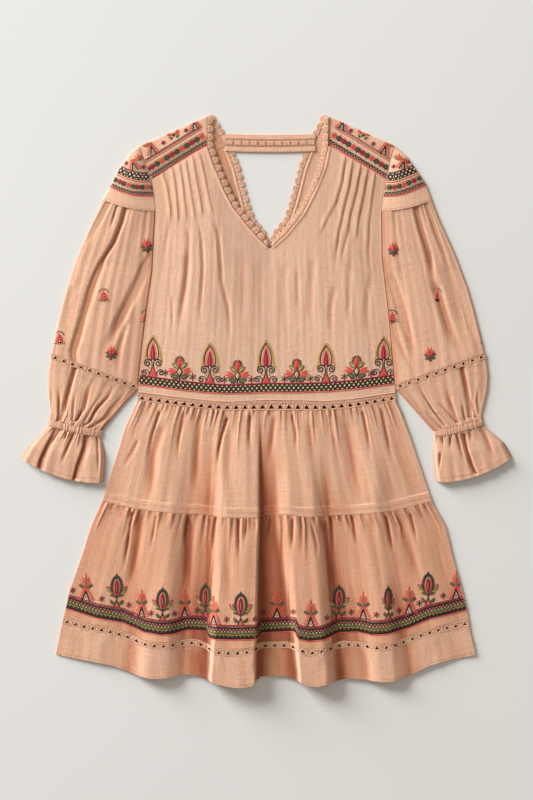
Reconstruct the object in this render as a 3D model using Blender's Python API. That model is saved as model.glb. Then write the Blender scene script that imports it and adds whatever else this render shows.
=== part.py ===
"""A mini dress laid flat on its back: front layer over back layer, one closed solid for each sewn piece.

Lengths are millimetres until a mesh is made. +X is the dress's left-hand picture side to right,
+Y runs up to the shoulders and +Z is up from the surface the dress lies on.
"""

import math
from collections import namedtuple

import bpy
import bmesh
import numpy as np

# Driving sizes
FRONT_WALL = 1.2
BACK_WALL = 1.0
LAYER_GAP = 0.3
SEAM_GAP = 0.3
FRONT_FLOOR = BACK_WALL + LAYER_GAP
FOLD_MID = FRONT_FLOOR - LAYER_GAP / 2
EDGE_ROUND = 2.4
STEEPEST = 0.5

BODICE_PUFF = 2.6
SKIRT_PUFF = 2.2
SLEEVE_PUFF = 3.0
GATHER_HEIGHT = 1.5
UPPER_TIER_GATHERS = 30
LOWER_TIER_GATHERS = 30
TUCK_HEIGHT = 1.4
TUCK_LENGTH = 95.0
LEFT_TUCKS = 6
RIGHT_TUCKS = 5
SLEEVE_PLEATS = 5
WRIST_GATHERS = 9
RUFFLE_WAVES = 9
RUFFLE_HEIGHT = 5.0

WAIST_HOLES = 30
HEM_HOLES = 45
TIER_SPANS = 30
SLEEVE_HOLES = 10
NECK_LACE_WIDTH = 9.6
SCALLOP_LENGTH = 13.0
SCALLOP_DEPTH = 3.2
LACE_GAP = 0.6
STRAP_FLOOR = FRONT_FLOOR

# The body's two sides, from the shoulder's end down the armhole and the side seam
SIDE_COLUMNS = ("y", "left", "right")
SIDES = (
    (406, -203.5, 204.0),
    (385, -193.0, 197.0),
    (361, -184.5, 192.0),
    (326, -179.5, 185.5),
    (302, -177.0, 183.5),
    (231, -181.0, 184.0),
    (207, -182.0, 186.5),
    (148, -190.5, 193.5),
    (113, -195.0, 197.0),
    (68, -200.5, 200.5),
    (47, -202.5, 202.0),
    (12, -205.5, 206.0),
    (-1, -206.0, 207.0),
    (-17, -213.0, 214.5),
    (-44, -225.5, 224.0),
    (-161, -262.0, 263.5),
    (-201, -280.0, 286.0),
    (-252, -296.0, 298.0),
    (-305, -315.0, 313.0),
    (-332, -321.0, 319.5),
    (-372, -330.0, 326.0),
    (-406, -337.0, 334.0),
)

# Seams and edges across the body, each a row of (x, y) points from left to right
FRONT_NECKLINE = (
    (-184, 353), (-95.5, 406), (-84, 373), (-68, 335), (-53, 307), (-30, 278), (-9, 255), (4, 242),
    (7, 243), (31, 264.5), (59, 300), (77, 335), (92.5, 373), (99.5, 406), (190, 353),
)
BACK_NECKLINE = (
    (-184, 353), (-66, 406), (-52, 371), (-47, 351), (-37, 313), (-28, 286), (4.5, 246),
    (37, 286), (46, 313), (56, 351), (61, 371), (75, 406), (190, 353),
)
WAIST_SEAM = ((-206, 12), (-143, 3.5), (-66, -4), (4, -0.5), (97, -2.5), (143, 1.5), (206, 11))
WAIST_LACE_FOOT = (
    (-206, -0.5), (-143, -9.5), (-104, -14), (-66, -16.5), (4, -16.5), (81, -17), (127, -14),
    (173, -7), (207, -0.5),
)
TIER_SEAM = (
    (-262, -161.5), (-221, -172), (-188, -177), (-134, -182), (-95, -182.5), (-83, -187), (-12, -188.5),
    (5, -183), (44, -183.5), (52, -186.5), (83, -186.5), (102, -184.5), (141, -183.5), (199, -178),
    (264, -162),
)
HEM_LACE_MIDDLE = (
    (-326, -352), (-289, -362), (-259, -367), (-219, -377.5), (-196, -389.5), (-167, -392.5),
    (-139, -388.5), (-118, -386), (-105, -388.5), (-83, -400.5), (-57, -402), (-26, -400.5),
    (-8, -391), (42, -391), (62, -402), (77, -402), (122, -389.5), (151, -391), (183, -395.5),
    (213, -388.5), (241, -377.5), (268, -368.5), (297, -361.5), (322, -356),
)
HEM_LACE_HALF = 5.5
HEM_EDGE = (
    (-337, -406.5), (-295, -415.5), (-251, -423), (-219, -434), (-196, -444), (-165, -445),
    (-131, -438), (-109, -440), (-82, -451.5), (-59, -457), (-37, -458), (-24, -456), (-14, -442),
    (23, -440), (48, -446), (57, -453), (75, -458), (97, -452.5), (124, -445), (147, -445),
    (180, -450), (203, -449), (227, -441.5), (259, -425.5), (292, -415.5), (334, -407.5),
)

# Large folds of the skirt: plateaus between two slanting lines, from the tier seam to the hem
FOLD_COLUMNS = ("left_top", "right_top", "left_foot", "right_foot", "height")
SKIRT_FOLDS = (
    (-215, -125, -222, -131, 10.0),
    (-95, -12, -95, -19, 16.0),
    (5, 100, 50, 122, 16.0),
    (125, 200, 150, 232, 11.0),
)
FOLD_TOP = -60.0
FOLD_SEAM = -180.0
FOLD_FOOT = -440.0
FOLD_SHARE_AT_SEAM = 0.4
FOLD_SOFTNESS = 16.0

# Sections down each sleeve: its outer edge, its inner edge and how far the line between them bows down
SECTION_COLUMNS = ("outer_x", "outer_y", "inner_x", "inner_y", "bow")
CAP_LEFT = (
    (-204, 406, -202.4, 401, 0.0),
    (-217, 396, -194.2, 379, 0.5),
    (-234.5, 372, -184.8, 353, 2.0),
    (-250, 342.5, -180.3, 326, 3.5),
    (-262, 320.5, -177.8, 302.6, 5.0),
)
CAP_RIGHT = (
    (205, 407, 203.4, 401, 0.0),
    (224, 390, 197.9, 380, 0.5),
    (239.5, 368.5, 191.4, 353, 2.0),
    (255, 345.5, 186.3, 326, 3.5),
    (264.5, 320, 184.3, 302.6, 5.0),
)
UPPER_SLEEVE_LEFT = (
    (-262, 320, -177.8, 302, 5.0),
    (-277, 287, -179.8, 267, 4.0),
    (-290, 259, -181.8, 231, 3.0),
    (-303, 228, -182.8, 207, 2.0),
    (-319.5, 178, -191.3, 148, 0.0),
    (-328.5, 145, -195.8, 113, 0.0),
    (-338, 103, -201.3, 68, 0.0),
    (-344, 75, -205.6, 24.5, 0.0),
)
UPPER_SLEEVE_RIGHT = (
    (264.5, 319.5, 184.3, 302, 5.0),
    (276.5, 288, 184.6, 267, 4.0),
    (290, 259, 184.8, 231, 3.0),
    (303, 229, 187.3, 207, 2.0),
    (321, 181, 194.3, 148, 0.0),
    (331, 147, 197.8, 113, 0.0),
    (341.5, 106, 201.3, 68, 0.0),
    (348.5, 76, 205.6, 24.5, 0.0),
)
SLEEVE_LACE_LEFT = ((-344, 74.7, -204.9, 24.2, 0.0), (-345, 66, -206.5, 16.3, 0.0))
SLEEVE_LACE_RIGHT = ((348.5, 75.7, 205.3, 24.2, 0.0), (351.5, 67, 207.3, 16.3, 0.0))
LOWER_SLEEVE_LEFT = (
    (-345, 65.7, -206.5, 16, 0.0),
    (-348.5, 47.5, -213, 9, 0.0),
    (-349.5, 15.5, -226, -4, 0.0),
    (-345.5, -20, -245, -27, 2.0),
    (-347.5, -30.5, -262, -48.5, 2.0),
)
LOWER_SLEEVE_RIGHT = (
    (351.5, 66.7, 207.3, 16, 0.0),
    (355, 39.5, 214.5, 9, 0.0),
    (353.5, 15.5, 226, -4, 0.0),
    (344.5, -22, 247, -28, 2.0),
    (345.5, -30.5, 266, -49.5, 2.0),
)
WRIST_BAND_LEFT = ((-347.5, -30.8, -262.3, -48.8, 2.0), (-349, -41, -265, -59.5, 2.0))
WRIST_BAND_RIGHT = ((345.5, -30.8, 266.3, -49.8, 2.0), (347, -40.5, 268.5, -60, 2.0))
RUFFLE_LEFT = (
    (-349, -41.3, -265, -59.8, 2.0),
    (-378.5, -72.5, -258, -88, 7.0),
    (-392, -92, -259.5, -130, 11.0),
)
RUFFLE_RIGHT = (
    (347, -40.8, 268.5, -60.3, 2.0),
    (379.5, -68, 266.5, -88, 7.0),
    (392, -90, 270.5, -129, 11.0),
)

# Shoulder yokes: the fold over the shoulder, and the front and back seam points below it
YOKE_COLUMNS = ("fold_x", "fold_y", "front_x", "front_y", "back_x", "back_y")
YOKE_LEFT = (
    (-203, 406.5, -184, 353.5, -184, 353.5),
    (-95.8, 454, -95.8, 406.4, -66.3, 406.4),
)
YOKE_RIGHT = (
    (204, 407.5, 190.5, 353.5, 190.5, 353.5),
    (100.3, 454, 100.3, 406.4, 75.3, 406.4),
)

# Neck edges that carry the scalloped lace, from the shoulder down to the point of the V
FRONT_NECK_LEFT = (
    (-95.4, 453), (-95.1, 406), (-84, 373), (-68, 335), (-53, 307), (-30, 278), (-9, 255), (2, 244),
)
FRONT_NECK_RIGHT = (
    (99.9, 453), (99.1, 406), (92.5, 373), (77, 335), (59, 300), (31, 264.5), (9.5, 245.5),
)
BACK_NECK_LEFT = (
    (-94.8, 453), (-65.6, 406), (-52, 371), (-47, 351), (-37, 313), (-28, 286), (1.5, 250),
)
BACK_NECK_RIGHT = (
    (99.3, 453), (74.6, 406), (61, 371), (56, 351), (46, 313), (37, 286), (7.5, 250),
)

STRAP_LEFT = -66.0
STRAP_RIGHT = 78.0
STRAP_TOP = 425.5
STRAP_BAND = 8.5
STRAP_LACE = 10.5

MM = 0.001
CLOTH_COLOUR = (0.82, 0.50, 0.33, 1.0)
LACE_COLOUR = (0.78, 0.44, 0.29, 1.0)
BAND_COLOUR = (0.72, 0.22, 0.18, 1.0)


def clear_scene():
    for obj in list(bpy.data.objects):
        bpy.data.objects.remove(obj, do_unlink=True)


def material(name, colour, roughness):
    made = bpy.data.materials.new(name)
    made.use_nodes = True
    shader = made.node_tree.nodes["Principled BSDF"]
    shader.inputs["Base Color"].default_value = colour
    shader.inputs["Roughness"].default_value = roughness
    return made


def add_solid(name, points, faces, finish):
    """One closed body from its points in millimetres; its faces are turned outwards."""
    mesh = bpy.data.meshes.new(name)
    mesh.from_pydata([tuple(float(c) * MM for c in p) for p in points], [], faces)
    mesh.validate()
    shaped = bmesh.new()
    shaped.from_mesh(mesh)
    bmesh.ops.recalc_face_normals(shaped, faces=shaped.faces)
    bmesh.ops.triangulate(shaped, faces=shaped.faces)
    if shaped.calc_volume(signed=True) < 0:
        bmesh.ops.reverse_faces(shaped, faces=shaped.faces)
    shaped.to_mesh(mesh)
    shaped.free()
    mesh.shade_smooth()
    mesh.set_sharp_from_angle(angle=math.radians(50))
    mesh.materials.append(finish)
    obj = bpy.data.objects.new(name, mesh)
    bpy.context.scene.collection.objects.link(obj)
    return obj


def add_wall(name, outer, inner, finish, closed=False):
    """A cloth wall between two grids of points, rows by columns; closed joins the last column to the first."""
    rows, columns = outer.shape[:2]
    points = list(outer.reshape(-1, 3)) + list(inner.reshape(-1, 3))
    inside = rows * columns
    faces = []
    across = columns if closed else columns - 1
    for r in range(rows - 1):
        for c in range(across):
            n = (c + 1) % columns
            a, b = r * columns + c, r * columns + n
            d, e = a + columns, b + columns
            faces.append((a, b, e, d))
            faces.append((inside + d, inside + e, inside + b, inside + a))
    for c in range(across):
        n = (c + 1) % columns
        last = (rows - 1) * columns
        faces.append((inside + c, inside + n, n, c))
        faces.append((last + c, last + n, inside + last + n, inside + last + c))
    if not closed:
        for r in range(rows - 1):
            a, d = r * columns, (r + 1) * columns
            b, e = a + columns - 1, d + columns - 1
            faces.append((a, d, inside + d, inside + a))
            faces.append((inside + b, inside + e, e, b))
    return add_solid(name, points, faces, finish)


def smooth(value):
    held = np.clip(value, 0.0, 1.0)
    return held * held * (3 - 2 * held)


def along(table, x):
    return np.interp(x, [row[0] for row in table], [row[1] for row in table])


def side(y, which):
    column = SIDE_COLUMNS.index(which)
    rows = SIDES[::-1]
    return np.interp(y, [row[0] for row in rows], [row[column] for row in rows])


# A seam across the body: its points, its straight spans (0 for one at each pair of points) and a shift in y
Seam = namedtuple("Seam", ("points", "spans", "shift"))
FRONT_NECK_SEAM = Seam(FRONT_NECKLINE, 0, 0.0)
BACK_NECK_SEAM = Seam(BACK_NECKLINE, 0, 0.0)
WAIST = Seam(WAIST_SEAM, WAIST_HOLES, 0.0)
LACE_FOOT = Seam(WAIST_LACE_FOOT, WAIST_HOLES, 0.0)
TIER = Seam(TIER_SEAM, TIER_SPANS, 0.0)
HEM_LACE_TOP = Seam(HEM_LACE_MIDDLE, HEM_HOLES, HEM_LACE_HALF)
HEM_LACE_FOOT = Seam(HEM_LACE_MIDDLE, HEM_HOLES, -HEM_LACE_HALF)
HEM = Seam(HEM_EDGE, HEM_HOLES, 0.0)


def across(y, s):
    """x at the share s of the body's width at y."""
    return side(y, "left") + s * (side(y, "right") - side(y, "left"))


def seam_stations(seam):
    """Shares and heights of the points where the seam's straight spans meet."""
    if seam.spans == 0:
        y = np.array([point[1] for point in seam.points], float)
        x = np.array([point[0] for point in seam.points], float)
        s = np.clip((x - side(y, "left")) / (side(y, "right") - side(y, "left")), 0, 1)
        s[0], s[-1] = 0, 1
        return s, y + seam.shift
    s = np.linspace(0, 1, seam.spans + 1)
    y = np.zeros_like(s)
    for _ in range(12):
        y = along(seam.points, across(y, s)) + seam.shift
    return s, y


def body_plan(top, foot, s, t):
    """Plan points of a body panel, where s runs across and t runs down, both 0 to 1."""
    s_grid, t_grid = np.meshgrid(s, t)
    high = np.interp(s, *seam_stations(top)) - SEAM_GAP / 2
    low = np.interp(s, *seam_stations(foot)) + SEAM_GAP / 2
    y = high[None, :] * (1 - t_grid) + low[None, :] * t_grid
    return across(y, s_grid), y, s_grid, t_grid


def fold_height(x, y):
    """The skirt's large folds, which grow from above the tier seam to the hem."""
    down = np.clip((FOLD_SEAM - y) / (FOLD_SEAM - FOLD_FOOT), 0, 1)
    early = smooth((FOLD_TOP - y) / (FOLD_TOP - FOLD_SEAM)) * FOLD_SHARE_AT_SEAM
    share = early + (1 - FOLD_SHARE_AT_SEAM) * smooth(down)
    height = np.zeros_like(x)
    for row in SKIRT_FOLDS:
        fold = dict(zip(FOLD_COLUMNS, row))
        left = fold["left_top"] + (fold["left_foot"] - fold["left_top"]) * down
        right = fold["right_top"] + (fold["right_foot"] - fold["right_top"]) * down
        rise = smooth((x - left) / FOLD_SOFTNESS) * smooth((right - x) / FOLD_SOFTNESS)
        height = np.maximum(height, fold["height"] * share * rise)
    return height


def front_floor(x, y, puff):
    """Underside of the front layer: low at the sides and lifted in the middle, with the skirt's folds."""
    left, right = side(y, "left"), side(y, "right")
    inward = np.minimum(x - left, right - x)
    return FRONT_FLOOR + puff * smooth(inward / 70.0) + fold_height(x, y)


def wave(s, count):
    return 0.5 - 0.5 * np.cos(2 * math.pi * count * s)


def add_front(name, plan, floor, finish):
    """A front panel: its underside is the floor given, and its wall is measured square to its slope."""
    x, y = plan[:2]
    rise_rows = np.gradient(floor, axis=0)
    rise_columns = np.gradient(floor, axis=1)
    run_rows = np.hypot(np.gradient(x, axis=0), np.gradient(y, axis=0))
    run_columns = np.hypot(np.gradient(x, axis=1), np.gradient(y, axis=1))
    slope = np.hypot(rise_rows / run_rows, rise_columns / run_columns)
    upright = np.maximum(1 / np.sqrt(1 + slope**2), STEEPEST)
    outer = np.stack([x, y, floor + FRONT_WALL / upright], axis=-1)
    inner = np.stack([x, y, floor], axis=-1)
    return add_wall(name, outer, inner, finish)


def add_back(name, top, foot, finish):
    """A back panel, flat where the dress rests, outlined by its two seams and the body's sides."""
    s_top, y_top = seam_stations(top)
    s_foot, y_foot = seam_stations(foot)
    y_top = y_top - SEAM_GAP / 2
    y_foot = y_foot + SEAM_GAP / 2
    outline = [(across(y, s), y) for s, y in zip(s_top, y_top)]
    outline += [(side(row[0], "right"), row[0]) for row in SIDES if y_foot[-1] < row[0] < y_top[-1]]
    outline += [(across(y, s), y) for s, y in zip(s_foot[::-1], y_foot[::-1])]
    outline += [(side(row[0], "left"), row[0]) for row in SIDES[::-1] if y_foot[0] < row[0] < y_top[0]]
    count = len(outline)
    points = [(x, y, BACK_WALL) for x, y in outline] + [(x, y, 0.0) for x, y in outline]
    faces = [tuple(range(count)), tuple(range(2 * count - 1, count - 1, -1))]
    faces += [(k, count + k, count + (k + 1) % count, (k + 1) % count) for k in range(count)]
    return add_solid(name, points, faces, finish)


def shares(*spans):
    """Shares across a panel from (start, end, steps) spans that follow on."""
    values = [spans[0][0]]
    for start, end, steps in spans:
        values += [start + (end - start) * (k + 1) / steps for k in range(steps)]
    return np.array(values)


def add_bodice(cloth):
    tuck_left = (0.05, 0.05 + (2 * LEFT_TUCKS - 2) / 60)
    tuck_right = (0.95 - (2 * RIGHT_TUCKS - 2) / 60, 0.95)
    s = np.concatenate([
        shares((0.0, tuck_left[0], 1), (tuck_left[0], tuck_left[1], 2 * LEFT_TUCKS - 2)),
        seam_stations(FRONT_NECK_SEAM)[0][1:-1],
        shares((tuck_right[0], tuck_right[1], 2 * RIGHT_TUCKS - 2), (tuck_right[1], 1.0, 1)),
    ])
    armhole_top = FRONT_NECKLINE[0][1]
    waist_end = WAIST_SEAM[0][1]
    levels = np.array([row[0] for row in SIDES if waist_end < row[0] < armhole_top])
    t = np.concatenate([[0], (armhole_top - levels) / (armhole_top - waist_end), [1]])
    plan = body_plan(FRONT_NECK_SEAM, WAIST, s, t)
    x, y, s_grid, _ = plan
    floor = front_floor(x, y, BODICE_PUFF)
    fade = smooth((y - (y[0] - TUCK_LENGTH)) / 40.0)
    for start, end, count in ((*tuck_left, LEFT_TUCKS), (*tuck_right, RIGHT_TUCKS)):
        step = (end - start) / (2 * count - 2)
        place = (s_grid - start) / step
        inside = (place > -0.9) & (place < 2 * count - 1.1)
        floor += TUCK_HEIGHT * fade * inside * (0.5 + 0.5 * np.cos(math.pi * place))
    add_front("bodice_front", plan, floor, cloth)
    add_back("bodice_back", BACK_NECK_SEAM, WAIST, cloth)


def add_tier(name, top, foot, columns, gathers, rows, keep, cloth):
    """A gathered tier: keep is the share of the gathers' height left at its foot."""
    plan = body_plan(top, foot, np.linspace(0, 1, columns + 1), np.linspace(0, 1, rows))
    x, y, s_grid, t_grid = plan
    fade = 1 - (1 - keep) * smooth(t_grid / 0.8)
    floor = front_floor(x, y, SKIRT_PUFF) + GATHER_HEIGHT * fade * wave(s_grid, gathers)
    add_front(name + "_front", plan, floor, cloth)
    add_back(name + "_back", top, foot, cloth)


def add_holed_band(name, plan_point, floor, wall, count, hole, finish):
    """A lace band cut through by a row of triangles; plan_point(s, t) gives x and y, floor(x, y, s) the underside."""
    width, apex, base = hole
    points = []
    faces = []
    edge = 2 * (count + 1)
    spots = []
    for k in range(count + 1):
        spots += [(k / count, 0.0), (k / count, 1.0)]
    for k in range(count):
        middle = (k + 0.5) / count
        half = width / 2 / count
        spots += [(middle, apex), (middle + half, base), (middle - half, base)]
    for raised in (1, 0):
        for s, t in spots:
            x, y = plan_point(s, t)
            points.append((x, y, floor(x, y, s) + raised * wall))
    under = len(spots)
    for k in range(count):
        top_left, foot_left, top_right, foot_right = 2 * k, 2 * k + 1, 2 * k + 2, 2 * k + 3
        tip, right, left = (edge + 3 * k + n for n in range(3))
        cell = (
            (top_left, tip, top_right), (top_right, tip, right), (top_right, right, foot_right),
            (foot_right, right, left), (foot_right, left, foot_left), (foot_left, left, top_left),
            (top_left, left, tip),
        )
        faces += cell
        faces += [tuple(under + v for v in reversed(face)) for face in cell]
        for a, b in ((tip, left), (left, right), (right, tip)):
            faces.append((a, b, under + b, under + a))
        faces.append((top_left, top_right, under + top_right, under + top_left))
        faces.append((foot_right, foot_left, under + foot_left, under + foot_right))
    last = 2 * count
    faces.append((0, 1, under + 1, under))
    faces.append((last + 1, last, under + last, under + last + 1))
    return add_solid(name, points, faces, finish)


def add_body_lace(name, top, foot, hole, puff, lace):
    """The lace band round the body, as a front and a back half."""
    def plan_point(s, t):
        x, y, _, _ = body_plan(top, foot, np.array([s]), np.array([t]))
        return float(x[0, 0]), float(y[0, 0])

    def front(x, y, s):
        return float(front_floor(np.array(x), np.array(y), puff))

    add_holed_band(name + "_front", plan_point, front, FRONT_WALL, top.spans, hole, lace)
    add_holed_band(name + "_back", plan_point, lambda x, y, s: 0.0, BACK_WALL, top.spans, hole, lace)


def sections(rows, v):
    """Outer point, inner point and bow at the shares v down a sleeve's table."""
    table = np.array(rows, float)
    place = np.linspace(0, 1, len(rows))
    read = [np.interp(v, place, table[:, k]) for k in range(len(SECTION_COLUMNS))]
    return np.stack(read[0:2], -1), np.stack(read[2:4], -1), read[4]


def section_point(outer, inner, bow, u):
    """A point at the share u from the outer edge to the inner, with the line's bow."""
    point = outer * (1 - u) + inner * u
    return point[0], point[1] - bow * 4 * u * (1 - u)


def add_flat_tube(name, rows, steps, front_steps, back_steps, lift, finish):
    """A tube pressed flat: lift(u, v) raises its front, its back rests flat."""
    outer_rows, inner_rows = [], []
    for v in np.linspace(0, 1, steps + 1):
        outer, inner, bow = sections(rows, v)
        width = float(np.hypot(*(inner - outer)))
        edge = EDGE_ROUND / width
        inset = FRONT_WALL / width
        front = np.linspace(edge, 1 - edge, front_steps + 1)
        back = np.linspace(1 - edge, edge, back_steps + 1)
        ring = [(0.0, FOLD_MID, inset, FOLD_MID)]
        ring += [(u, FRONT_FLOOR + lift(u, v) + FRONT_WALL, u, FRONT_FLOOR + lift(u, v)) for u in front]
        ring += [(1.0, FOLD_MID, 1 - inset, FOLD_MID)]
        ring += [(u, 0.0, u, BACK_WALL) for u in back]
        outer_rows.append([(*section_point(outer, inner, bow, u), z) for u, z, _, _ in ring])
        inner_rows.append([(*section_point(outer, inner, bow, u), z) for _, _, u, z in ring])
    return add_wall(name, np.array(outer_rows), np.array(inner_rows), finish, closed=True)


def sleeve_lift(pleats, at_top, at_foot):
    """Height of a sleeve's front over its back: a soft rise and pleats that change from top to foot."""
    def lift(u, v):
        share = at_top + (at_foot - at_top) * v
        return SLEEVE_PUFF * math.sin(math.pi * u) ** 0.8 + share * float(wave(u, pleats))
    return lift


def ruffle_lift(u, v):
    flare = float(smooth(v))
    return RUFFLE_HEIGHT * flare * float(wave(u, RUFFLE_WAVES)) + 0.6 * math.sin(math.pi * u)


def add_sleeve(which, tables, cloth, lace, band):
    upper, lace_rows, lower, wrist, ruffle = tables
    name = "_" + which
    add_flat_tube("upper_sleeve" + name, upper, len(upper) - 1, 2 * SLEEVE_PLEATS + 2, 4,
                  sleeve_lift(SLEEVE_PLEATS + 1, 2.0, 0.8), cloth)
    lift = sleeve_lift(WRIST_GATHERS, 0.6, 2.2)

    def plan_point(s, t):
        outer, inner, bow = sections(lace_rows, t)
        return section_point(outer, inner, bow, s)

    def front(x, y, s):
        return FRONT_FLOOR + SLEEVE_PUFF * math.sin(math.pi * s) ** 0.8

    hole = (0.46, 0.22, 0.78)
    add_holed_band("sleeve_lace_front" + name, plan_point, front, FRONT_WALL, SLEEVE_HOLES, hole, lace)
    add_holed_band("sleeve_lace_back" + name, plan_point, lambda x, y, s: 0.0, BACK_WALL, SLEEVE_HOLES,
                   hole, lace)
    add_flat_tube("lower_sleeve" + name, lower, 4, 2 * WRIST_GATHERS, 4, lift, cloth)
    add_flat_tube("wrist_band" + name, wrist, 1, 2 * WRIST_GATHERS, 4,
                  sleeve_lift(WRIST_GATHERS, 1.2, 1.2), band)
    add_flat_tube("cuff_ruffle" + name, ruffle, 3, 2 * RUFFLE_WAVES, 6, ruffle_lift, cloth)


def add_shoulder_fold(name, stations, front_steps, finish):
    """A piece folded over the shoulder: each station gives its fold, front edge and back edge."""
    outer_rows, inner_rows = [], []
    for fold, front_edge, back_edge, bow, lift in stations:
        reach = float(np.hypot(*(front_edge - fold)))
        round_share = EDGE_ROUND / reach
        inset = FRONT_WALL / reach
        outer, inner = [], []
        for u in np.linspace(1, min(round_share, 0.9), front_steps + 1):
            x, y = section_point(fold, front_edge, bow, u)
            raised = FRONT_FLOOR + lift * math.sin(math.pi * u)
            outer.append((x, y, raised + FRONT_WALL))
            inner.append((x, y, raised))
        outer.append((*fold, FOLD_MID))
        inner.append((*section_point(fold, front_edge, bow, min(inset, 0.45)), FOLD_MID))
        for u in np.linspace(min(round_share, 0.9), 1, 3):
            x, y = section_point(fold, back_edge, bow, u)
            outer.append((x, y, 0.0))
            inner.append((x, y, BACK_WALL))
        outer_rows.append(outer)
        inner_rows.append(inner)
    return add_wall(name, np.array(outer_rows), np.array(inner_rows), finish)


def add_cap(name, rows, finish):
    stations = []
    for v in np.linspace(0, 1, 9):
        outer, inner, bow = sections(rows, v)
        stations.append((outer, inner, inner, bow, 2.0 * smooth(v / 0.4)))
    add_shoulder_fold(name, stations, 6, finish)


def add_yoke(name, rows, finish):
    ends = np.array(rows, float)
    stations = []
    for v in np.linspace(0, 1, 8):
        row = dict(zip(YOKE_COLUMNS, ends[0] * (1 - v) + ends[1] * v))
        fold = np.array((row["fold_x"], row["fold_y"]))
        front = np.array((row["front_x"], row["front_y"]))
        back = np.array((row["back_x"], row["back_y"]))
        stations.append((fold, front, back, 0.0, 1.0 * math.sin(math.pi * v)))
    add_shoulder_fold(name, stations, 5, finish)


def add_neck_lace(name, path, inward, floor, wall, finish):
    """Scalloped edging along a neck edge; inward is +1 where the neck opens towards +X."""
    route = np.array(path, float)
    steps = np.hypot(*np.diff(route, axis=0).T)
    length = np.concatenate([[0], np.cumsum(steps)])
    count = round(length[-1] / SCALLOP_LENGTH)
    places = np.linspace(0, length[-1], 3 * count + 1)
    x = np.interp(places, length, route[:, 0])
    y = np.interp(places, length, route[:, 1])
    tangent = np.stack([np.gradient(x), np.gradient(y)], -1)
    tangent /= np.linalg.norm(tangent, axis=1)[:, None]
    square = inward * np.stack([-tangent[:, 1], tangent[:, 0]], -1)
    end_fade = np.minimum(1, (length[-1] - places) / (2 * SCALLOP_LENGTH) + 0.35)
    dip = np.array([SCALLOP_DEPTH, 0.3, 0.3])[np.arange(len(places)) % 3]
    reach = (NECK_LACE_WIDTH - dip) * end_fade
    start = np.stack([x, y], -1) + square * LACE_GAP
    free = np.stack([x, y], -1) + square * (LACE_GAP + reach[:, None])
    grid = np.stack([start, free])
    level = np.full(grid.shape[:2], floor)
    outer = np.concatenate([grid, (level + wall)[..., None]], -1)
    inner = np.concatenate([grid, level[..., None]], -1)
    add_wall(name, outer, inner, finish)


def add_strap(cloth, lace):
    """The back neck strap: two bands with a ladder lace between them, lying on the back's lace."""
    x = np.linspace(STRAP_LEFT, STRAP_RIGHT, 9)
    dip = 1.5 * np.sin(np.linspace(0, math.pi, 9))
    top = STRAP_TOP
    for name, height, finish in (
        ("strap_upper_band", STRAP_BAND, cloth),
        ("strap_lace", STRAP_LACE, lace),
        ("strap_lower_band", STRAP_BAND, cloth),
    ):
        grid = np.stack([np.stack([x, top - dip], -1), np.stack([x, top - height - dip], -1)])
        level = np.full(grid.shape[:2], STRAP_FLOOR)
        outer = np.concatenate([grid, (level + FRONT_WALL)[..., None]], -1)
        inner = np.concatenate([grid, level[..., None]], -1)
        add_wall(name, outer, inner, finish)
        top -= height + SEAM_GAP


def build():
    clear_scene()
    cloth = material("cloth", CLOTH_COLOUR, 0.85)
    lace = material("lace", LACE_COLOUR, 0.9)
    band = material("embroidered_band", BAND_COLOUR, 0.8)
    add_bodice(cloth)
    add_body_lace("waist_lace", WAIST, LACE_FOOT, (0.45, 0.35, 0.8), BODICE_PUFF, lace)
    add_tier("upper_tier", LACE_FOOT, TIER, 2 * UPPER_TIER_GATHERS, UPPER_TIER_GATHERS, 6, 0.55, cloth)
    add_tier("lower_tier", TIER, HEM_LACE_TOP, 3 * LOWER_TIER_GATHERS, LOWER_TIER_GATHERS, 6, 0.3, cloth)
    add_body_lace("hem_lace", HEM_LACE_TOP, HEM_LACE_FOOT, (0.42, 0.25, 0.75), SKIRT_PUFF, lace)
    add_tier("hem_panel", HEM_LACE_FOOT, HEM, 3 * LOWER_TIER_GATHERS, LOWER_TIER_GATHERS, 3, 0.5, cloth)
    add_yoke("yoke_left", YOKE_LEFT, band)
    add_yoke("yoke_right", YOKE_RIGHT, band)
    add_cap("sleeve_cap_left", CAP_LEFT, band)
    add_cap("sleeve_cap_right", CAP_RIGHT, band)
    left = (UPPER_SLEEVE_LEFT, SLEEVE_LACE_LEFT, LOWER_SLEEVE_LEFT, WRIST_BAND_LEFT, RUFFLE_LEFT)
    right = (UPPER_SLEEVE_RIGHT, SLEEVE_LACE_RIGHT, LOWER_SLEEVE_RIGHT, WRIST_BAND_RIGHT, RUFFLE_RIGHT)
    add_sleeve("left", left, cloth, lace, cloth)
    add_sleeve("right", right, cloth, lace, cloth)
    add_neck_lace("neck_lace_front_left", FRONT_NECK_LEFT, 1, FRONT_FLOOR, FRONT_WALL, lace)
    add_neck_lace("neck_lace_front_right", FRONT_NECK_RIGHT, -1, FRONT_FLOOR, FRONT_WALL, lace)
    add_neck_lace("neck_lace_back_left", BACK_NECK_LEFT, 1, 0.0, BACK_WALL, lace)
    add_neck_lace("neck_lace_back_right", BACK_NECK_RIGHT, -1, 0.0, BACK_WALL, lace)
    add_strap(cloth, lace)


build()
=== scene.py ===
"""The looks of a mini dress laid flat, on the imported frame: cloth, crochet lace, embroidery and stitches.

Lengths are millimetres until a mesh is made. +X runs to the picture's right, +Y up to the shoulders.
"""

import math
from collections import namedtuple

import bpy
import numpy as np
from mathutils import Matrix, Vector
from mathutils.bvhtree import BVHTree


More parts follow.
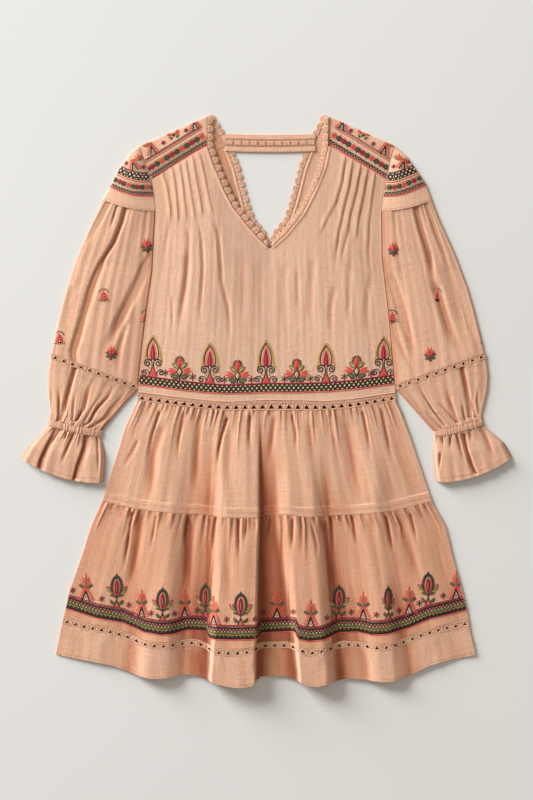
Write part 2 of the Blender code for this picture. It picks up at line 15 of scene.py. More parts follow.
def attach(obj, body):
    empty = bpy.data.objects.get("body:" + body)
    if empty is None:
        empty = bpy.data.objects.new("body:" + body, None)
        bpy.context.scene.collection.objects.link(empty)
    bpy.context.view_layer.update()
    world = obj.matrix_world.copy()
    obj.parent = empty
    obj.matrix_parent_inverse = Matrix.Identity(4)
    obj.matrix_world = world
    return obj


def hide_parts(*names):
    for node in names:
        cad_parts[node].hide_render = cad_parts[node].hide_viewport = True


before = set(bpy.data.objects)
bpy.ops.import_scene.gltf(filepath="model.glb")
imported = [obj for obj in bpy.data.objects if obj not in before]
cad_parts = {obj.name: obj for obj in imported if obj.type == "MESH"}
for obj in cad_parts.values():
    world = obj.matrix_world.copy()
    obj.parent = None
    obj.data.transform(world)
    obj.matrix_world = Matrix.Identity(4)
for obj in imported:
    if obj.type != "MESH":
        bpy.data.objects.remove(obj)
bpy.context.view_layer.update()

MM = 0.001
BODY = "root"

# Sizes shared with the solids
FRONT_WALL = 1.2
BACK_WALL = 1.0
LAYER_GAP = 0.3
SEAM_GAP = 0.3
FRONT_FLOOR = BACK_WALL + LAYER_GAP
FOLD_MID = FRONT_FLOOR - LAYER_GAP / 2
BODICE_PUFF = 2.6
SKIRT_PUFF = 2.2
SLEEVE_PUFF = 3.0
GATHERS = 30
WAIST_HOLES = 30
HEM_HOLES = 45
SLEEVE_HOLES = 10
SCALLOP_LENGTH = 13.0
NECK_LACE_WIDTH = 9.6

# The body's outline: a height, and the left and right sides there
SIDES = (
    (454, -203.5, 204.0),
    (406, -203.5, 204.0),
    (385, -193.0, 197.0),
    (361, -184.5, 192.0),
    (326, -179.5, 185.5),
    (302, -177.0, 183.5),
    (231, -181.0, 184.0),
    (207, -182.0, 186.5),
    (148, -190.5, 193.5),
    (113, -195.0, 197.0),
    (68, -200.5, 200.5),
    (47, -202.5, 202.0),
    (12, -205.5, 206.0),
    (-1, -206.0, 207.0),
    (-17, -213.0, 214.5),
    (-44, -225.5, 224.0),
    (-161, -262.0, 263.5),
    (-201, -280.0, 286.0),
    (-252, -296.0, 298.0),
    (-305, -315.0, 313.0),
    (-332, -321.0, 319.5),
    (-372, -330.0, 326.0),
    (-406, -337.0, 334.0),
)
# Necklines, seams and hems, from left to right
FRONT_NECKLINE = (
    (-184, 353), (-95.5, 406), (-84, 373), (-68, 335), (-53, 307), (-30, 278), (-9, 255), (4, 242),
    (7, 243), (31, 264.5), (59, 300), (77, 335), (92.5, 373), (99.5, 406), (190, 353),
)
BACK_NECKLINE = (
    (-184, 353), (-66, 406), (-52, 371), (-47, 351), (-37, 313), (-28, 286), (4.5, 246),
    (37, 286), (46, 313), (56, 351), (61, 371), (75, 406), (190, 353),
)
WAIST_SEAM = ((-206, 12), (-143, 3.5), (-66, -4), (4, -0.5), (97, -2.5), (143, 1.5), (206, 11))
WAIST_LACE_FOOT = (
    (-206, -0.5), (-143, -9.5), (-104, -14), (-66, -16.5), (4, -16.5), (81, -17), (127, -14),
    (173, -7), (207, -0.5),
)
TIER_SEAM = (
    (-262, -161.5), (-221, -172), (-188, -177), (-134, -182), (-95, -182.5), (-83, -187), (-12, -188.5),
    (5, -183), (44, -183.5), (52, -186.5), (83, -186.5), (102, -184.5), (141, -183.5), (199, -178),
    (264, -162),
)
HEM_LACE_MIDDLE = (
    (-326, -352), (-289, -362), (-259, -367), (-219, -377.5), (-196, -389.5), (-167, -392.5),
    (-139, -388.5), (-118, -386), (-105, -388.5), (-83, -400.5), (-57, -402), (-26, -400.5),
    (-8, -391), (42, -391), (62, -402), (77, -402), (122, -389.5), (151, -391), (183, -395.5),
    (213, -388.5), (241, -377.5), (268, -368.5), (297, -361.5), (322, -356),
)
HEM_LACE_HALF = 5.5
HEM_EDGE = (
    (-337, -406.5), (-295, -415.5), (-251, -423), (-219, -434), (-196, -444), (-165, -445),
    (-131, -438), (-109, -440), (-82, -451.5), (-59, -457), (-37, -458), (-24, -456), (-14, -442),
    (23, -440), (48, -446), (57, -453), (75, -458), (97, -452.5), (124, -445), (147, -445),
    (180, -450), (203, -449), (227, -441.5), (259, -425.5), (292, -415.5), (334, -407.5),
)
# Each fold's edges at the seam and at the hem, its height and how soft its two sides are at the hem
SKIRT_FOLDS = (
    (-215, -125, -222, -131, 8.0, 34, 30),
    (-95, -9, -95, -15, 16.0, 8, 5),
    (5, 100, 47, 122, 15.0, 8, 30),
    (125, 200, 150, 232, 8.0, 30, 30),
)
FOLD_TOP = 0.0
FOLD_SEAM = -180.0
FOLD_FOOT = -440.0
FOLD_SHARE_AT_SEAM = 0.5
FOLD_SOFTENING = 26.0
PUFF_REACH = 70.0

# Sleeve sections: outer x and y, inner x and y, bow
CAP_LEFT = (
    (-204, 406, -202.4, 401, 0.0),
    (-217, 396, -194.2, 379, 0.5),
    (-234.5, 372, -184.8, 353, 2.0),
    (-250, 342.5, -180.3, 326, 3.5),
    (-262, 320.5, -177.8, 302.6, 5.0),
)
CAP_RIGHT = (
    (205, 407, 203.4, 401, 0.0),
    (224, 390, 197.9, 380, 0.5),
    (239.5, 368.5, 191.4, 353, 2.0),
    (255, 345.5, 186.3, 326, 3.5),
    (264.5, 320, 184.3, 302.6, 5.0),
)
UPPER_LEFT = (
    (-262, 320, -177.8, 302, 5.0),
    (-277, 287, -179.8, 267, 4.0),
    (-290, 259, -181.8, 231, 3.0),
    (-303, 228, -182.8, 207, 2.0),
    (-319.5, 178, -191.3, 148, 0.0),
    (-328.5, 145, -195.8, 113, 0.0),
    (-338, 103, -201.3, 68, 0.0),
    (-344, 75, -205.6, 24.5, 0.0),
)
UPPER_RIGHT = (
    (264.5, 319.5, 184.3, 302, 5.0),
    (276.5, 288, 184.6, 267, 4.0),
    (290, 259, 184.8, 231, 3.0),
    (303, 229, 187.3, 207, 2.0),
    (321, 181, 194.3, 148, 0.0),
    (331, 147, 197.8, 113, 0.0),
    (341.5, 106, 201.3, 68, 0.0),
    (348.5, 76, 205.6, 24.5, 0.0),
)
LACE_LEFT = ((-344, 74.7, -204.9, 24.2, 0.0), (-345, 66, -206.5, 16.3, 0.0))
LACE_RIGHT = ((348.5, 75.7, 205.3, 24.2, 0.0), (351.5, 67, 207.3, 16.3, 0.0))
LOWER_LEFT = (
    (-345, 65.7, -206.5, 16, 0.0),
    (-348.5, 47.5, -213, 9, 0.0),
    (-349.5, 15.5, -226, -4, 0.0),
    (-345.5, -20, -245, -27, 2.0),
    (-347.5, -30.5, -262, -48.5, 2.0),
)
LOWER_RIGHT = (
    (351.5, 66.7, 207.3, 16, 0.0),
    (355, 39.5, 214.5, 9, 0.0),
    (353.5, 15.5, 226, -4, 0.0),
    (344.5, -22, 247, -28, 2.0),
    (345.5, -30.5, 266, -49.5, 2.0),
)
WRIST_LEFT = ((-347.5, -30.8, -262.3, -48.8, 2.0), (-349, -41, -265, -59.5, 2.0))
WRIST_RIGHT = ((345.5, -30.8, 266.3, -49.8, 2.0), (347, -40.5, 268.5, -60, 2.0))
RUFFLE_LEFT = (
    (-349, -41.3, -265, -59.8, 2.0),
    (-378.5, -72.5, -258, -88, 7.0),
    (-392, -92, -259.5, -130, 11.0),
)
RUFFLE_RIGHT = (
    (347, -40.8, 268.5, -60.3, 2.0),
    (379.5, -68, 266.5, -88, 7.0),
    (392, -90, 270.5, -129, 11.0),
)
# Yokes: fold, front edge and back edge at the armhole and at the neck
YOKE_LEFT = (((-203, 406.5), (-184, 353.5), (-184, 353.5)), ((-95.8, 454), (-95.8, 406.4), (-66.3, 406.4)))
YOKE_RIGHT = (((204, 407.5), (190.5, 353.5), (190.5, 353.5)), ((100.3, 454), (100.3, 406.4), (75.3, 406.4)))
# Lines that the neck lace follows, from the shoulder to the foot of the V
FRONT_NECK_LEFT = (
    (-95.4, 453), (-95.1, 406), (-84, 373), (-68, 335), (-53, 307), (-30, 278), (-9, 255), (2, 244),
)
FRONT_NECK_RIGHT = (
    (99.9, 453), (99.1, 406), (92.5, 373), (77, 335), (59, 300), (31, 264.5), (9.5, 245.5),
)
BACK_NECK_LEFT = (
    (-94.8, 453), (-65.6, 406), (-52, 371), (-47, 351), (-37, 313), (-28, 286), (1.5, 250),
)
BACK_NECK_RIGHT = (
    (99.3, 453), (74.6, 406), (61, 371), (56, 351), (46, 313), (37, 286), (7.5, 250),
)
STRAP_LEFT = -66.0
STRAP_RIGHT = 78.0
STRAP_TOP = 425.5
STRAP_BAND = 8.5
STRAP_LACE = 10.5

# Places in the picture are given in its pixels
PIXEL = 1.6
MIDDLE = (266.6, 400.6)


def spots(*pairs):
    """Places in the picture, as millimetres."""
    pairs = np.array(pairs, float)
    return np.stack([(pairs[:, 0] - MIDDLE[0]) * PIXEL, (MIDDLE[1] - pairs[:, 1]) * PIXEL], -1)


# Creases given one by one: points from top to foot in the picture, how far the cloth rises or sinks to the
# line, its height, how far it takes to level out on the right and how softly it starts and ends
Crease = namedtuple("Crease", ("route", "width", "height", "fall", "fades"))
CREASE_END = 2.0


def tuck(*route):
    """A pintuck: a slow rise and a sharp fall."""
    return Crease(route, width=9.5, height=1.0, fall=1.1, fades=(0.05, 0.12))


def valley(depth, width, *route):
    """A soft valley that fades at both ends."""
    return Crease(route, width, -depth, fall=width, fades=(0.15, 0.45))


def drawn_in(depth, width, *route):
    """A valley that deepens towards a gathered edge at its foot."""
    return Crease(route, width, -depth, fall=width, fades=(0.6, 0.02))


def let_out(depth, width, *route):
    """A valley that starts at a gathered edge and fades."""
    return Crease(route, width, -depth, fall=width, fades=(0.03, 0.6))


BODICE_CREASES = (
    tuck((162.7, 173), (167.5, 188.8), (170, 207), (170.6, 219)),
    tuck((172.4, 169), (174.8, 182.7), (177.2, 207), (178.5, 222.7)),
    tuck((179.7, 165), (183.3, 188.8), (185.7, 213), (187, 222.7)),
    tuck((185.7, 161), (189.4, 182.7), (193, 207), (195.4, 221.5)),
    tuck((193, 158), (196.6, 180.3), (200.3, 199.7), (202.7, 216.6)),
    tuck((199.7, 155), (205.1, 177.9), (208.7, 197.2), (212.4, 215.4)),
    tuck((345.3, 157), (342.2, 182.7), (335.6, 204.5), (326, 221.5), (321, 232)),
    tuck((352.5, 161), (348.9, 188.8), (342.9, 213), (338, 236), (336, 250)),
    tuck((360.4, 166), (356.2, 192.4), (350.1, 216.6), (346.5, 238.4)),
    tuck((367.7, 169), (364, 194.8), (358.6, 219), (355.6, 240.9)),
    tuck((375, 174), (371.9, 200.9), (368.9, 225.1), (368.3, 249.3)),
    valley(1.1, 4, (345.5, 160), (342.4, 182.7), (336, 204.5), (326.4, 221.5), (318.6, 241)),
    valley(1.1, 4, (353, 165), (349.2, 188.8), (343.2, 213), (338.4, 236), (335.4, 261), (334.8, 286)),
    valley(1.0, 4, (360.8, 170), (356.5, 192.4), (350.4, 216.6), (346.8, 238.4), (342, 255), (343, 290)),
    valley(1.0, 4, (368, 173), (364.3, 194.8), (359, 219), (355.6, 246)),
    valley(1.0, 4, (375.3, 178), (372.2, 200.9), (369.2, 225), (368.6, 249), (371, 280)),
    valley(0.9, 6, (170.6, 221), (167, 240), (163, 262), (160, 283)),
    valley(1.1, 6, (187, 223), (189, 243), (187, 268), (185, 290), (180.5, 318), (178, 340)),
    valley(1.3, 9, (188, 250), (187, 277), (181.8, 306), (178.5, 340)),
    valley(0.8, 4, (172.1, 296), (172.7, 334)),
    valley(1.2, 5, (198.4, 221), (201.5, 241), (203.3, 267), (202, 289), (200.2, 312), (202, 338)),
    valley(1.5, 6, (211.2, 217), (218.4, 234), (220.9, 261), (222, 283), (227.8, 306), (230, 329),
           (228, 357)),
    valley(0.7, 12, (240, 250), (243, 290), (241, 335)),
    valley(0.7, 14, (259.9, 262), (260.5, 300), (259.9, 336)),
    valley(0.7, 10, (284, 262), (283, 300), (286, 340)),
    valley(1.0, 10, (313.8, 256), (310.4, 290), (309, 335)),
    valley(1.1, 8, (335, 286), (330, 312), (331, 345)),
    valley(0.9, 7, (350, 256), (349, 299), (345, 340)),
    valley(0.9, 8, (370.7, 274), (366, 310), (367, 345)),
    valley(0.7, 6, (297, 270), (298, 312)),
)
LEFT_SLEEVE_CREASES = (
    let_out(3.0, 8, (108.8, 203), (102.1, 216.6), (93.6, 231.2), (87, 250)),
    let_out(2.2, 4, (117.3, 207), (113, 221.5), (110, 232)),
    let_out(3.2, 7, (126.4, 208), (122.7, 222.7), (114.2, 243.3), (102.1, 262.7), (90, 290), (84, 320)),
    let_out(0.9, 12, (146, 214), (144, 230), (140, 245)),
    valley(3.8, 13, (155, 251), (147, 266), (137, 287), (122, 317), (108, 346), (103, 361)),
    valley(3.0, 11, (105, 258), (97, 277), (88, 305), (80, 332), (74, 352), (75.6, 365)),
    drawn_in(2.6, 11, (84, 318), (77.5, 340), (73.5, 353), (75.6, 365)),
    valley(1.4, 9, (74, 285), (66, 322), (62, 352)),
    valley(1.6, 8, (128, 322), (119, 350), (117, 372)),
    Crease(((75.6, 369), (69, 393), (64.9, 409), (60.3, 420.5)), 7, -3.0, 6, (0.02, 0.02)),
    drawn_in(2.8, 6, (95.5, 374), (88.4, 391), (84.3, 409.4), (77.1, 421)),
    drawn_in(2.8, 6, (114.9, 384), (107.8, 398), (95.5, 411.4), (90.4, 421.6), (83.3, 427)),
    drawn_in(2.6, 8, (129, 387), (118, 403.3), (106.7, 417.6), (91.4, 428)),
    drawn_in(2.0, 4, (59.3, 389), (59.3, 405), (58.8, 418)),
    drawn_in(1.4, 3.5, (52, 388), (50.6, 412)),
    drawn_in(1.6, 4, (76, 391), (74, 405), (73, 421.6)),
    drawn_in(1.6, 4, (103, 392), (92, 409), (84, 424)),
)
RIGHT_SLEEVE_CREASES = (
    let_out(3.6, 9, (415, 206), (421.6, 231), (429, 255), (432, 282), (438, 310)),
    let_out(3.0, 6, (425.2, 203), (431.3, 219), (437.4, 237), (444, 254), (452, 280)),
    let_out(1.2, 4, (421, 205), (425, 217), (428, 226)),
    let_out(1.0, 12, (396.2, 212), (400, 226), (404.7, 240)),
    valley(3.0, 13, (391, 272), (399, 300), (404, 322), (410, 342), (418, 366)),
    valley(3.4, 13, (434, 280), (443, 310), (452, 338), (460, 360)),
    valley(1.5, 8, (392, 318), (399, 342), (414, 378)),
    valley(2.0, 16, (446, 262), (455, 295), (463, 330), (468, 352)),
    valley(2.4, 9, (460, 285), (469, 318), (474, 345)),
    Crease(((460.7, 364), (464.8, 381), (468.9, 403.3), (470, 418)), 7, -3.0, 6, (0.02, 0.02)),
    drawn_in(2.2, 4, (416.8, 383), (424, 397), (433.2, 411.4), (444.4, 425)),
    drawn_in(2.2, 6, (434.2, 398), (446.4, 411.4), (456.6, 423)),
    drawn_in(2.0, 6, (446, 388), (450.5, 403.3), (455.6, 417.6), (458, 423)),
    drawn_in(2.0, 4, (461.7, 404), (464.8, 420)),
    drawn_in(2.4, 5, (470.5, 399), (476, 418)),
    drawn_in(1.8, 4, (478.5, 387), (477, 403), (480, 414)),
    drawn_in(1.8, 6, (424, 409), (432, 420), (441, 429)),
)
LEFT_RUFFLE_CREASES = (
    Crease(((57, 427), (50.6, 438), (40.4, 459), (38, 468)), 2.5, -3.6, 14, (0.02, 0.02)),
    Crease(((85.3, 434), (83.3, 448), (77.1, 465.5), (73.6, 479)), 2.5, -3.6, 15, (0.02, 0.02)),
    let_out(2.6, 5, (74.1, 434), (68, 448), (60.8, 466)),
    let_out(1.8, 4, (97.6, 438), (98.6, 452), (99.1, 478)),
    let_out(2.0, 4, (61, 429), (56, 437), (51, 446)),
    let_out(1.6, 3.5, (66.4, 431), (66, 442)),
)
RIGHT_RUFFLE_CREASES = (
    let_out(2.2, 5, (455.6, 431), (459.7, 447), (464.8, 465)),
    Crease(((463.8, 435), (466.8, 450), (471.9, 465.5), (475.5, 473)), 8, -3.6, 5, (0.02, 0.02)),
    let_out(2.8, 8, (480, 426), (486.2, 439), (492.3, 454), (496, 463)),
    let_out(2.0, 4, (450.5, 436), (450, 450)),
    let_out(1.8, 3.5, (441.8, 438), (443.4, 446)),
    valley(1.8, 4, (440.3, 453), (438.8, 470)),
    let_out(1.8, 4, (469.9, 430), (470.5, 444)),
)
SKIRT_CREASES = (
    valley(2.4, 14, (164.7, 420), (153.6, 455), (149.9, 512)),
    valley(1.3, 6, (138.8, 440), (124, 468)),
    valley(1.7, 12, (199, 408), (197, 450), (196, 512)),
    valley(2.6, 14, (141, 510), (137, 545), (131, 596)),
    valley(2.4, 13, (190.5, 514), (189, 550), (186.9, 600)),
    let_out(2.4, 5, (133, 513), (127, 550), (123, 574)),
    valley(1.6, 14, (310, 420), (312, 460), (318, 512)),
    valley(1.7, 14, (344, 416), (352, 460), (360, 512)),
    valley(1.8, 14, (322, 519), (330, 560), (334, 606)),
    valley(1.8, 15, (368, 517), (378, 560), (386, 604)),
    valley(1.6, 13, (398, 514), (411, 556), (420, 596)),
    valley(1.5, 12, (230, 425), (228, 470), (232, 512)),
    valley(1.5, 13, (228, 519), (226, 560), (230, 606)),
    let_out(2.6, 5, (227.2, 419), (222, 436), (219, 450), (215.7, 476)),
    let_out(1.8, 5, (250.1, 416), (249, 438.8), (250, 456)),
    let_out(1.8, 5, (292.6, 416), (296, 436.5), (295, 452)),
    let_out(1.4, 8, (274.3, 420), (269.7, 450.3), (267.4, 470)),
    let_out(1.4, 5, (328.2, 416), (330.5, 440)),
    let_out(1.8, 5, (160, 412), (152, 436), (146, 466)),
    let_out(1.6, 5, (184, 414), (179, 440), (177, 470)),
    let_out(1.6, 5, (363, 413), (368, 440), (371, 464)),
    let_out(1.8, 5, (381.5, 411), (386, 433), (392, 462)),
    let_out(2.2, 5, (215.7, 519), (214, 535), (212.2, 552)),
    let_out(2.2, 5, (238.6, 519), (238.6, 566)),
    let_out(2.4, 5, (292.6, 519), (291.5, 556)),
    let_out(2.0, 5, (309.9, 519), (316.8, 546.8), (316, 562)),
    let_out(1.6, 4, (247, 519), (244.5, 545)),
    let_out(1.6, 4, (271, 519), (268, 537)),
    let_out(1.8, 5, (331, 519), (333.5, 558)),
    let_out(1.8, 5, (352, 518), (356, 548)),
    let_out(2.0, 5, (386, 517), (393, 556)),
    let_out(1.8, 5, (188, 518), (184, 550)),
    let_out(2.0, 5, (157, 517), (150, 552)),
    let_out(1.8, 5, (131, 514), (122, 545)),
    let_out(1.8, 5, (410, 514), (418, 546)),
)


def smooth(value):
    """Rises softly from 0 to 1 as the value does."""
    held = np.clip(value, 0.0, 1.0)
    return held * held * (3 - 2 * held)


def side(y, which):
    """The body's left side (0) or right side (1) at a height."""
    rows = SIDES[::-1]
    return np.interp(y, [row[0] for row in rows], [row[1 + which] for row in rows])


def across(y, s):
    """The place at the share s of the way across the body."""
    return side(y, 0) + s * (side(y, 1) - side(y, 0))


def share_of(x, y):
    return np.clip((x - side(y, 0)) / (side(y, 1) - side(y, 0)), 0, 1)


# A seam's points, the number of its straight spans, or 0 where its points are their ends, and its shift up
Seam = namedtuple("Seam", ("points", "spans", "shift"))
SETTLING_ROUNDS = 12
FRONT_NECK = Seam(FRONT_NECKLINE, 0, 0.0)
BACK_NECK = Seam(BACK_NECKLINE, 0, 0.0)
WAIST = Seam(WAIST_SEAM, WAIST_HOLES, 0.0)
LACE_FOOT = Seam(WAIST_LACE_FOOT, WAIST_HOLES, 0.0)
TIER = Seam(TIER_SEAM, GATHERS, 0.0)
HEM_LACE_TOP = Seam(HEM_LACE_MIDDLE, HEM_HOLES, HEM_LACE_HALF)
HEM_LACE_FOOT = Seam(HEM_LACE_MIDDLE, HEM_HOLES, -HEM_LACE_HALF)
HEM = Seam(HEM_EDGE, HEM_HOLES, 0.0)


def seam_stations(seam):
    """Shares and heights where the seam's straight spans meet."""
    xs, ys = np.array(seam.points, float).T
    if seam.spans == 0:
        s = share_of(xs, ys)
        s[0], s[-1] = 0, 1
        return s, ys + seam.shift
    s = np.linspace(0, 1, seam.spans + 1)
    y = np.zeros_like(s)
    for _ in range(SETTLING_ROUNDS):
        y = np.interp(across(y, s), xs, ys) + seam.shift
    return s, y


def seam_y(seam, s):
    return np.interp(s, *seam_stations(seam))


def body_plan(top, foot, s, t):
    """Grids of x, y and both shares between the seams above and below."""
    s_grid, t_grid = np.meshgrid(s, t)
    high = seam_y(top, s) - SEAM_GAP / 2
    low = seam_y(foot, s) + SEAM_GAP / 2
    y = high[None, :] * (1 - t_grid) + low[None, :] * t_grid
    return across(y, s_grid), y, s_grid, t_grid


def fold_height(x, y):
    """The skirt's large folds."""
    down = np.clip((FOLD_SEAM - y) / (FOLD_SEAM - FOLD_FOOT), 0, 1)
    early = smooth((FOLD_TOP - y) / (FOLD_TOP - FOLD_SEAM)) * FOLD_SHARE_AT_SEAM
    share = early + (1 - FOLD_SHARE_AT_SEAM) * smooth(down)
    height = np.zeros_like(x)
    for left_top, right_top, left_foot, right_foot, rise, left_soft, right_soft in SKIRT_FOLDS:
        left = left_top + (left_foot - left_top) * down
        right = right_top + (right_foot - right_top) * down
        rising = smooth((x - left) / (left_soft + FOLD_SOFTENING * (1 - down)))
        sides = rising * smooth((right - x) / right_soft)
        height = np.maximum(height, rise * share * sides)
    return height


def base_height(x, y, puff):
    """The front panels' upper side before creases and gathers."""
    inward = np.minimum(x - side(y, 0), side(y, 1) - x)
    return FRONT_FLOOR + FRONT_WALL + puff * smooth(inward / PUFF_REACH) + fold_height(x, y)


def crease_height(creases, x, y):
    total = np.zeros_like(x)
    for crease in creases:
        xs, ys = spots(*crease.route).T
        off = x - np.interp(-y, -ys, xs)
        past = (ys[0] + CREASE_END - y) / (ys[0] - ys[-1] + 2 * CREASE_END)
        start, end = crease.fades
        ends = smooth(past / start) * smooth((1 - past) / end)
        left = smooth((off + crease.width) / crease.width)
        right = 1 - smooth(off / crease.fall)
        total += crease.height * ends * np.where(off < 0, left, right)
    return total


# Ranges that each gather is drawn from, in shares of the usual spacing, height and reach
GATHER_SHIFT = (-0.42, 0.42)
GATHER_WIDTH = (0.35, 0.95)
GATHER_STRENGTH = (0.35, 1.2)
GATHER_SHORT = (0.15, 0.5)
GATHER_LONG = (0.5, 1.2)
GATHER_LEAN = (-0.5, 0.5)
GATHER_STEEPNESS = 0.35


def uneven_gathers(s, t, count, height, reach, seed):
    """Gathers at a seam, each with its own place, lean, strength and length down the cloth."""
    draws = np.random.default_rng(seed)
    total = np.zeros_like(s)
    for k in range(count):
        middle = (k + 0.5 + draws.uniform(*GATHER_SHIFT)) / count
        width = draws.uniform(*GATHER_WIDTH) / count
        strength = height * draws.uniform(*GATHER_STRENGTH)
        length = reach * draws.choice((draws.uniform(*GATHER_SHORT), draws.uniform(*GATHER_LONG)))
        off = s - middle - draws.uniform(*GATHER_LEAN) / count * t
        left = smooth((off + width) / width)
        right = 1 - smooth(off / (GATHER_STEEPNESS * width))
        total += strength * (1 - smooth(t / length)) * np.where(off < 0, left, right)
    return total


WAVES = 3
WAVE_SHIFT = (0, 6.28)
WAVE_WANDER = 0.8


def fine_wave(s, t, count, height, seed):
    """Three low waves across the cloth, of about count ripples, that wander a little on the way down."""
    draws = np.random.default_rng(seed)
    total = np.zeros_like(s)
    for k in range(WAVES):
        turns = count * (0.7 + 0.45 * k)
        shift = draws.uniform(*WAVE_SHIFT)
        total += np.sin(2 * math.pi * turns * s + shift + WAVE_WANDER * np.sin(3 * t + k)) / WAVES
    return height * total


# Mesh making
SHARP_ANGLE = 60


def make_object(name, points, faces, finishes, indices=None, uvs=None):
    """faces is a list of arrays with three or four corners a row; uvs has one pair a point."""
    mesh = bpy.data.meshes.new(name)
    mesh.vertices.add(len(points))
    mesh.vertices.foreach_set("co", (np.asarray(points, float) * MM).ravel())
    counts = np.concatenate([np.full(len(f), f.shape[1]) for f in faces])
    corners = np.concatenate([f.ravel() for f in faces]).astype(np.int32)
    mesh.loops.add(len(corners))
    mesh.loops.foreach_set("vertex_index", corners)
    mesh.polygons.add(len(counts))
    starts = np.concatenate([[0], np.cumsum(counts)[:-1]])
    mesh.polygons.foreach_set("loop_start", starts.astype(np.int32))
    if indices is not None:
        mesh.polygons.foreach_set("material_index", np.asarray(indices, np.int32))
    mesh.update(calc_edges=True)
    if uvs is not None:
        layer = mesh.uv_layers.new(name="flat")
        layer.data.foreach_set("uv", np.asarray(uvs, float)[corners].ravel())
    for finish in finishes:
        mesh.materials.append(finish)
    mesh.validate()
    mesh.shade_smooth()
    mesh.set_sharp_from_angle(angle=math.radians(SHARP_ANGLE))
    obj = bpy.data.objects.new(name, mesh)
    bpy.context.scene.collection.objects.link(obj)
    return obj


def wall_faces(rows, columns, closed):
    """Quads of a closed wall: its outer grid, its inner grid and its rims."""
    spans = columns if closed else columns - 1
    r, c = np.meshgrid(np.arange(rows - 1), np.arange(spans), indexing="ij")
    n = (c + 1) % columns
    a, b = r * columns + c, r * columns + n
    d, e = a + columns, b + columns
    inside = rows * columns
    outer = np.stack([a, d, e, b], -1).reshape(-1, 4)
    inner = np.stack([a, b, e, d], -1).reshape(-1, 4) + inside
    c = np.arange(spans)
    n = (c + 1) % columns
    last = (rows - 1) * columns
    top = np.stack([c, n, inside + n, inside + c], -1)
    foot = np.stack([last + c, inside + last + c, inside + last + n, last + n], -1)
    faces = [outer, inner, top, foot]
    if not closed:
        r = np.arange(rows - 1)
        a, d = r * columns, (r + 1) * columns
        b, e = a + columns - 1, d + columns - 1
        faces.append(np.stack([a, inside + a, inside + d, d], -1))
        faces.append(np.stack([b, e, inside + e, inside + b], -1))
    return faces


def facing_out(points, faces):
    """The faces of a closed mesh, turned round if they face its inside."""
    total = 0.0
    for f in faces:
        p = points[f]
        for k in range(1, f.shape[1] - 1):
            total += np.einsum("ij,ij->i", p[:, 0], np.cross(p[:, k], p[:, k + 1])).sum()
    return [f[:, ::-1] for f in faces] if total < 0 else faces


def blurred(z, half):
    """Mean of each row's heights over half a width to either side, given in columns."""
    half = max(1, min(int(half), z.shape[1] // 2 - 1))
    padded_rows = np.pad(z, ((0, 0), (half, half)), mode="edge")
    sums = np.cumsum(np.pad(padded_rows, ((0, 0), (1, 0))), axis=1)
    return (sums[:, 2 * half + 1:] - sums[:, :-2 * half - 1]) / (2 * half + 1)


# Painted shade between folds: how far to either side the cloth is compared with, the depth that gets full
# shade and the weight
PAINTED_SHADE_SIZES = ((4.5, 0.9, 0.75), (14.0, 3.0, 0.45), (42.0, 7.0, 0.95))
DEEPEST_PAINTED_SHADE = 1.15


def painted_fold_shade(outer):
    """How much painted shade each point gets, from how deep it lies between the folds beside it."""
    z = outer[..., 2]
    spacing = np.linalg.norm(np.diff(outer[:, :, :2], axis=1), axis=2).mean()
    total = 0.0
    for reach, full_depth, weight in PAINTED_SHADE_SIZES:
        total = total + weight * np.clip((blurred(z, reach / spacing) - z) / full_depth, 0, 1)
    return np.clip(total, 0, DEEPEST_PAINTED_SHADE)


def store_painted_shade(obj, shade):
    """Stores how much painted shade each point gets."""
    layer = obj.data.attributes.new("hollow", "FLOAT", "POINT")
    layer.data.foreach_set("value", shade.astype(np.float32))


def make_wall(name, outer, inner, flat, finishes, closed=False, shade=None):
    """A thin closed shell between two point grids.

    flat gives each grid point's place on the cut cloth, and shade how much painted shade it gets.
    """
    rows, columns = outer.shape[:2]
    points = np.concatenate([outer.reshape(-1, 3), inner.reshape(-1, 3)])
    faces = facing_out(points, wall_faces(rows, columns, closed))
    uvs = np.concatenate([flat.reshape(-1, 2)] * 2) * MM
    obj = make_object(name, points, faces, finishes, uvs=uvs)
    if shade is not None:
        store_painted_shade(obj, np.tile(shade.ravel(), 2))
    return obj


def grid_lengths(points):
    """Length along each row and down each column of a point grid, in millimetres."""
    steps = np.linalg.norm(np.diff(points, axis=1), axis=2)
    u = np.concatenate([np.zeros((len(points), 1)), np.cumsum(steps, axis=1)], axis=1)
    drops = np.linalg.norm(np.diff(points, axis=0), axis=2)
    v = np.concatenate([np.zeros((1, points.shape[1])), np.cumsum(drops, axis=0)], axis=0)
    return np.stack([u, v], -1)


# Materials


def new_material(name, roughness=0.85, sheen=0.3, tint=(1.0, 0.9, 0.8, 1.0)):
    made = bpy.data.materials.new(name)
    made.use_nodes = True
    shader = made.node_tree.nodes["Principled BSDF"]
    shader.inputs["Roughness"].default_value = roughness
    shader.inputs["Sheen Weight"].default_value = sheen
    shader.inputs["Sheen Roughness"].default_value = 0.5
    shader.inputs["Sheen Tint"].default_value = tint
    shader.inputs["Specular IOR Level"].default_value = 0.2
    return made, made.node_tree, shader


def add_node(tree, kind, **settings):
    node = tree.nodes.new(kind)
    for key, value in settings.items():
        if key in node.inputs:
            node.inputs[key].default_value = value
        else:
            setattr(node, key, value)
    return node


def scaled_coordinates(tree, scale, source):
    coordinates = add_node(tree, "ShaderNodeTexCoord")
    mapping = add_node(tree, "ShaderNodeMapping")
    mapping.inputs["Scale"].default_value = scale
    tree.links.new(coordinates.outputs[source], mapping.inputs["Vector"])
    return mapping.outputs["Vector"]


def noise(tree, scale, detail, source="UV"):
    """Soft noise, scale being the blotches to the metre along each axis."""
    texture = add_node(tree, "ShaderNodeTexNoise", Scale=1.0, Detail=detail, Roughness=0.6)
    tree.links.new(scaled_coordinates(tree, scale, source), texture.inputs["Vector"])
    return texture.outputs["Fac"]


